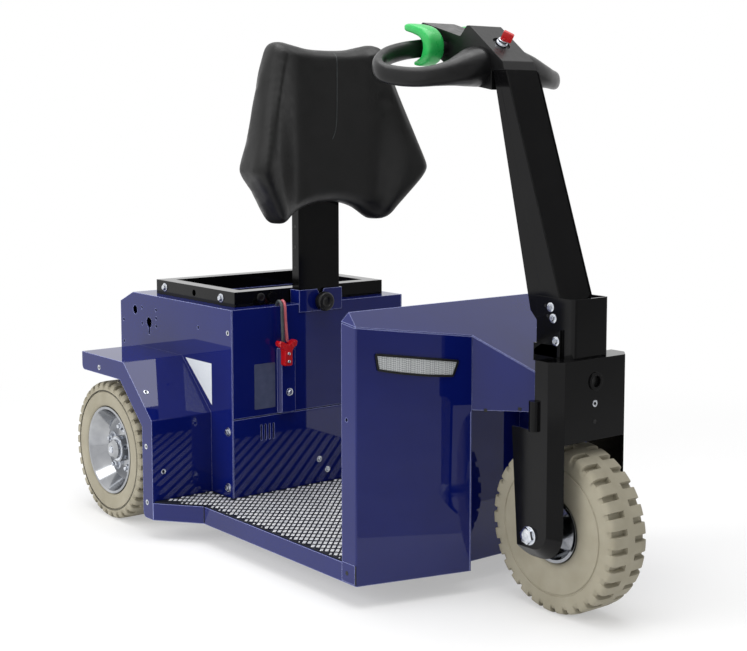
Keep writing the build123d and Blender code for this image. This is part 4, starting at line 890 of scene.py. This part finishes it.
zinc_steering = []
dark_steering = [
    hole(at(FORK_FRONT, -1, 441), FORWARD, 4.5), hole(at(FORK_FRONT, -1, 481), FORWARD, 4),
    turned(at(1383, 0, 530), FORWARD, [(21, 0), (21, 3), (15, 3.6), (14, 2)], 32)]
for side in RIGHT_LEFT:
    out = (0, side, 0)
    for x, y, z in ((1305, COLUMN_HALF, 688), (1313, COLUMN_HALF, 664), (1329, COLUMN_FOOT_HALF, 616)):
        zinc_steering.append(hex_bolt(at(x, side * y, z), out, 11))
    for x, z in ((1289, 690), (1296, 668)):
        dark_steering.append(hole(at(x, side * COLUMN_HALF, z), out, 3.5))
zinc_steering.append(eyelet(at(FORK_FRONT, -1, 481), FORWARD, 7.5))
make_piece("column_fasteners", together(zinc_steering), zinc_plate, "steering")
# Painted shade in the fork's and column's holes
make_piece("column_holes", together(dark_steering), black_nylon, "steering")
make_piece("column_flanges", together([
    side_plate(side, 48.5, 3, ((1303, 612), (1362, 612), (1153, 1203), (1128, 1203)))
    for side in RIGHT_LEFT]), black_coat, "steering")
make_piece("bracket_feet", together([
    side_plate(side, 52, 9.5, oblong(1260, 1332, 566, 606)) for side in RIGHT_LEFT]),
    black_coat, "steering")

POST_HOLES = 7
POST_HOLE_LOW, POST_HOLE_PITCH = 700, 55
# Painted shade in the post's holes
make_piece("post_holes", together([
    hole(at(353, side * 67.5, POST_HOLE_LOW + POST_HOLE_PITCH * k), (0, side, 0), 5)
    for side in RIGHT_LEFT for k in range(POST_HOLES)]), black_nylon, "backrest")


# Battery connector, with wings to pull it by

CONNECTOR_HALF = [
    (0, 501), (6, 504), (14, 510), (25, 513), (30, 508), (27.5, 499), (19, 495), (13, 488), (12, 480),
    (12, 448), (9, 445)]
CONNECTOR_MIDDLE_Z = 470
CONNECTOR_STEPS = ((387.5, 0), (405, 0), (408, 1.2))


def connector_body():
    """Narrow body with a curved wing on each side, as one thick plate in two steps."""
    outline = CONNECTOR_HALF + [(-y, z) for y, z in reversed(CONNECTOR_HALF) if y]
    rings = []
    for x, shrink in CONNECTOR_STEPS:
        rings.append([
            at(x, CONNECTOR_Y + y * (1 - shrink / 14), z + (shrink if z < CONNECTOR_MIDDLE_Z else -shrink))
            for y, z in outline])
    return ringed(rings)


connector = make_piece("winged_connector", connector_body(), red_plastic, "chassis")
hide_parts("battery_connector")


# Clamp knob with a dished face

knob = make_piece("dished_clamp_knob", turned(at(381, 0, 607), FORWARD, [
    (9, -12), (9, 0), (19, 0.5), (24, 2), (25.8, 5), (26, 9), (26, 18), (25, 22), (22.5, 24.6), (20, 25),
    (14, 25), (12.6, 23.6), (12, 21), (10.5, 20), (4, 20)], 56), black_nylon, "chassis")
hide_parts("clamp_knob")


# Blank plate on the box front and the reflective triangles on its sides

make_piece("blank_rating_plate", slab(
    [at(BOX_FRONT, y, z) for y, z in rounded(-216, -150, 332, 453, 3)], Vector((0.8 * MM, 0, 0))),
    label_metal, "chassis")
make_piece("reflective_triangles", together([
    side_plate(side, BOX_HALF, 0.4, ((139, 450), (273, 450), (273, 338))) for side in RIGHT_LEFT]),
    white_film, "chassis")


# Stage: floor, world, flag and lamps, in metres

FLOOR_HALF = 30.0
FLOOR_CLEAR = 1.1
FLOOR_FADE = 2.6
FLOOR_LEAST_WHITE = 0.4
FLAG_RUN = ((0.95, 0.01), (5.0, 0.01), (5.4, 0.12), (5.6, 0.5), (5.6, 6.0))
FLAG_RIGHT, FLAG_LEFT = -1.6, 8.0
WHITE = (1, 1, 1, 1)


def seen_as_white(tree):
    """One for rays of the camera, of gloss and of glass, and nought for light that falls on things."""
    ray = add_node(tree, "ShaderNodeLightPath")
    direct = add_node(tree, "ShaderNodeMath", {"operation": "MAXIMUM"},
                      {0: ray.outputs["Is Camera Ray"], 1: ray.outputs["Is Glossy Ray"]})
    return add_node(tree, "ShaderNodeMath", {"operation": "MAXIMUM"},
                    {0: direct.outputs["Value"], 1: ray.outputs["Is Transmission Ray"]}).outputs["Value"]


def studio_floor():
    """Pale floor that keeps the shadow near the machine and fades to white further out."""
    mesh = bpy.data.meshes.new("studio_floor")
    corners = [(-FLOOR_HALF, -FLOOR_HALF, 0), (FLOOR_HALF, -FLOOR_HALF, 0),
               (FLOOR_HALF, FLOOR_HALF, 0), (-FLOOR_HALF, FLOOR_HALF, 0)]
    mesh.from_pydata(corners, [], [(0, 1, 2, 3)])
    floor = bpy.data.objects.new("studio_floor", mesh)
    bpy.context.scene.collection.objects.link(floor)
    material, tree, shader, place = new_material("painted_studio_floor_white", {"Roughness": 0.9})
    tone = mottle(tree, place, 900, linear("#f4f4f4"), linear("#f7f7f7"))
    tree.links.new(tone, shader.inputs["Base Color"])
    glow = add_node(tree, "ShaderNodeEmission", {"Color": WHITE, "Strength": 1.0})
    away = add_node(tree, "ShaderNodeVectorMath", {"operation": "LENGTH"}, {"Vector": place})
    fade = add_node(tree, "ShaderNodeMapRange", {
        "interpolation_type": "SMOOTHSTEP", "From Min": FLOOR_CLEAR, "From Max": FLOOR_FADE,
        "To Min": FLOOR_LEAST_WHITE}, {"Value": away.outputs["Value"]})
    share = add_node(tree, "ShaderNodeMath", {"operation": "MULTIPLY"},
                     {0: fade.outputs["Result"], 1: seen_as_white(tree)})
    mix = add_node(tree, "ShaderNodeMixShader", {}, {
        "Fac": share.outputs["Value"], 1: shader.outputs["BSDF"], 2: glow.outputs["Emission"]})
    tree.links.new(mix.outputs["Shader"], tree.nodes["Material Output"].inputs["Surface"])
    mesh.materials.append(material)


def studio_world():
    """White behind the machine and in its gloss, and a softer light from all round."""
    world = bpy.data.worlds.new("studio")
    bpy.context.scene.world = world
    world.use_nodes = True
    tree = world.node_tree
    soft = tree.nodes["Background"]
    soft.inputs["Color"].default_value = WHITE
    soft.inputs["Strength"].default_value = 0.5
    white = add_node(tree, "ShaderNodeBackground", {"Color": WHITE, "Strength": 1.0})
    mix = add_node(tree, "ShaderNodeMixShader", {}, {
        "Fac": seen_as_white(tree), 1: soft.outputs["Background"], 2: white.outputs["Background"]})
    tree.links.new(mix.outputs["Shader"], tree.nodes["World Output"].inputs["Surface"])


def grey_flag():
    """Grey cloth ahead of the machine, on the floor and hung up, which only gloss shows."""
    mesh = bpy.data.meshes.new("grey_flag")
    points = [(x, y, z) for x, z in FLAG_RUN for y in (FLAG_RIGHT, FLAG_LEFT)]
    mesh.from_pydata(points, [], [
        (2 * k, 2 * k + 1, 2 * k + 3, 2 * k + 2) for k in range(len(FLAG_RUN) - 1)])
    flag = bpy.data.objects.new("grey_flag", mesh)
    bpy.context.scene.collection.objects.link(flag)
    material, tree, shader, place = new_material(
        "woven_cotton_flag_grey", {"Roughness": 0.9, "Specular IOR Level": 0.0})
    tone = mottle(tree, place, 300, linear("#c0c0c0"), linear("#c6c6c6"))
    tree.links.new(tone, shader.inputs["Base Color"])
    mesh.materials.append(material)
    flag.visible_camera = False
    flag.visible_shadow = False
    flag.visible_diffuse = False


def softbox(name, place, aim, width, height, watts, mirrored_in_gloss):
    """Rectangular lamp at a place, turned to a point, which gloss shows or doesn't."""
    lamp = bpy.data.lights.new(name, "AREA")
    lamp.shape = "RECTANGLE"
    lamp.size = width
    lamp.size_y = height
    lamp.energy = watts
    light = bpy.data.objects.new(name, lamp)
    light.location = place
    light.rotation_euler = (Vector(aim) - Vector(place)).to_track_quat("-Z", "Y").to_euler()
    light.visible_glossy = mirrored_in_gloss
    bpy.context.scene.collection.objects.link(light)


studio_floor()
studio_world()
grey_flag()
softbox("softbox_above", (0.2, -0.3, 4.2), (0.0, 0.0, 0.4), 4.0, 4.0, 150, True)
softbox("softbox_right", (-1.0, -4.2, 2.2), (0.0, 0.0, 0.5), 3.0, 2.4, 100, False)
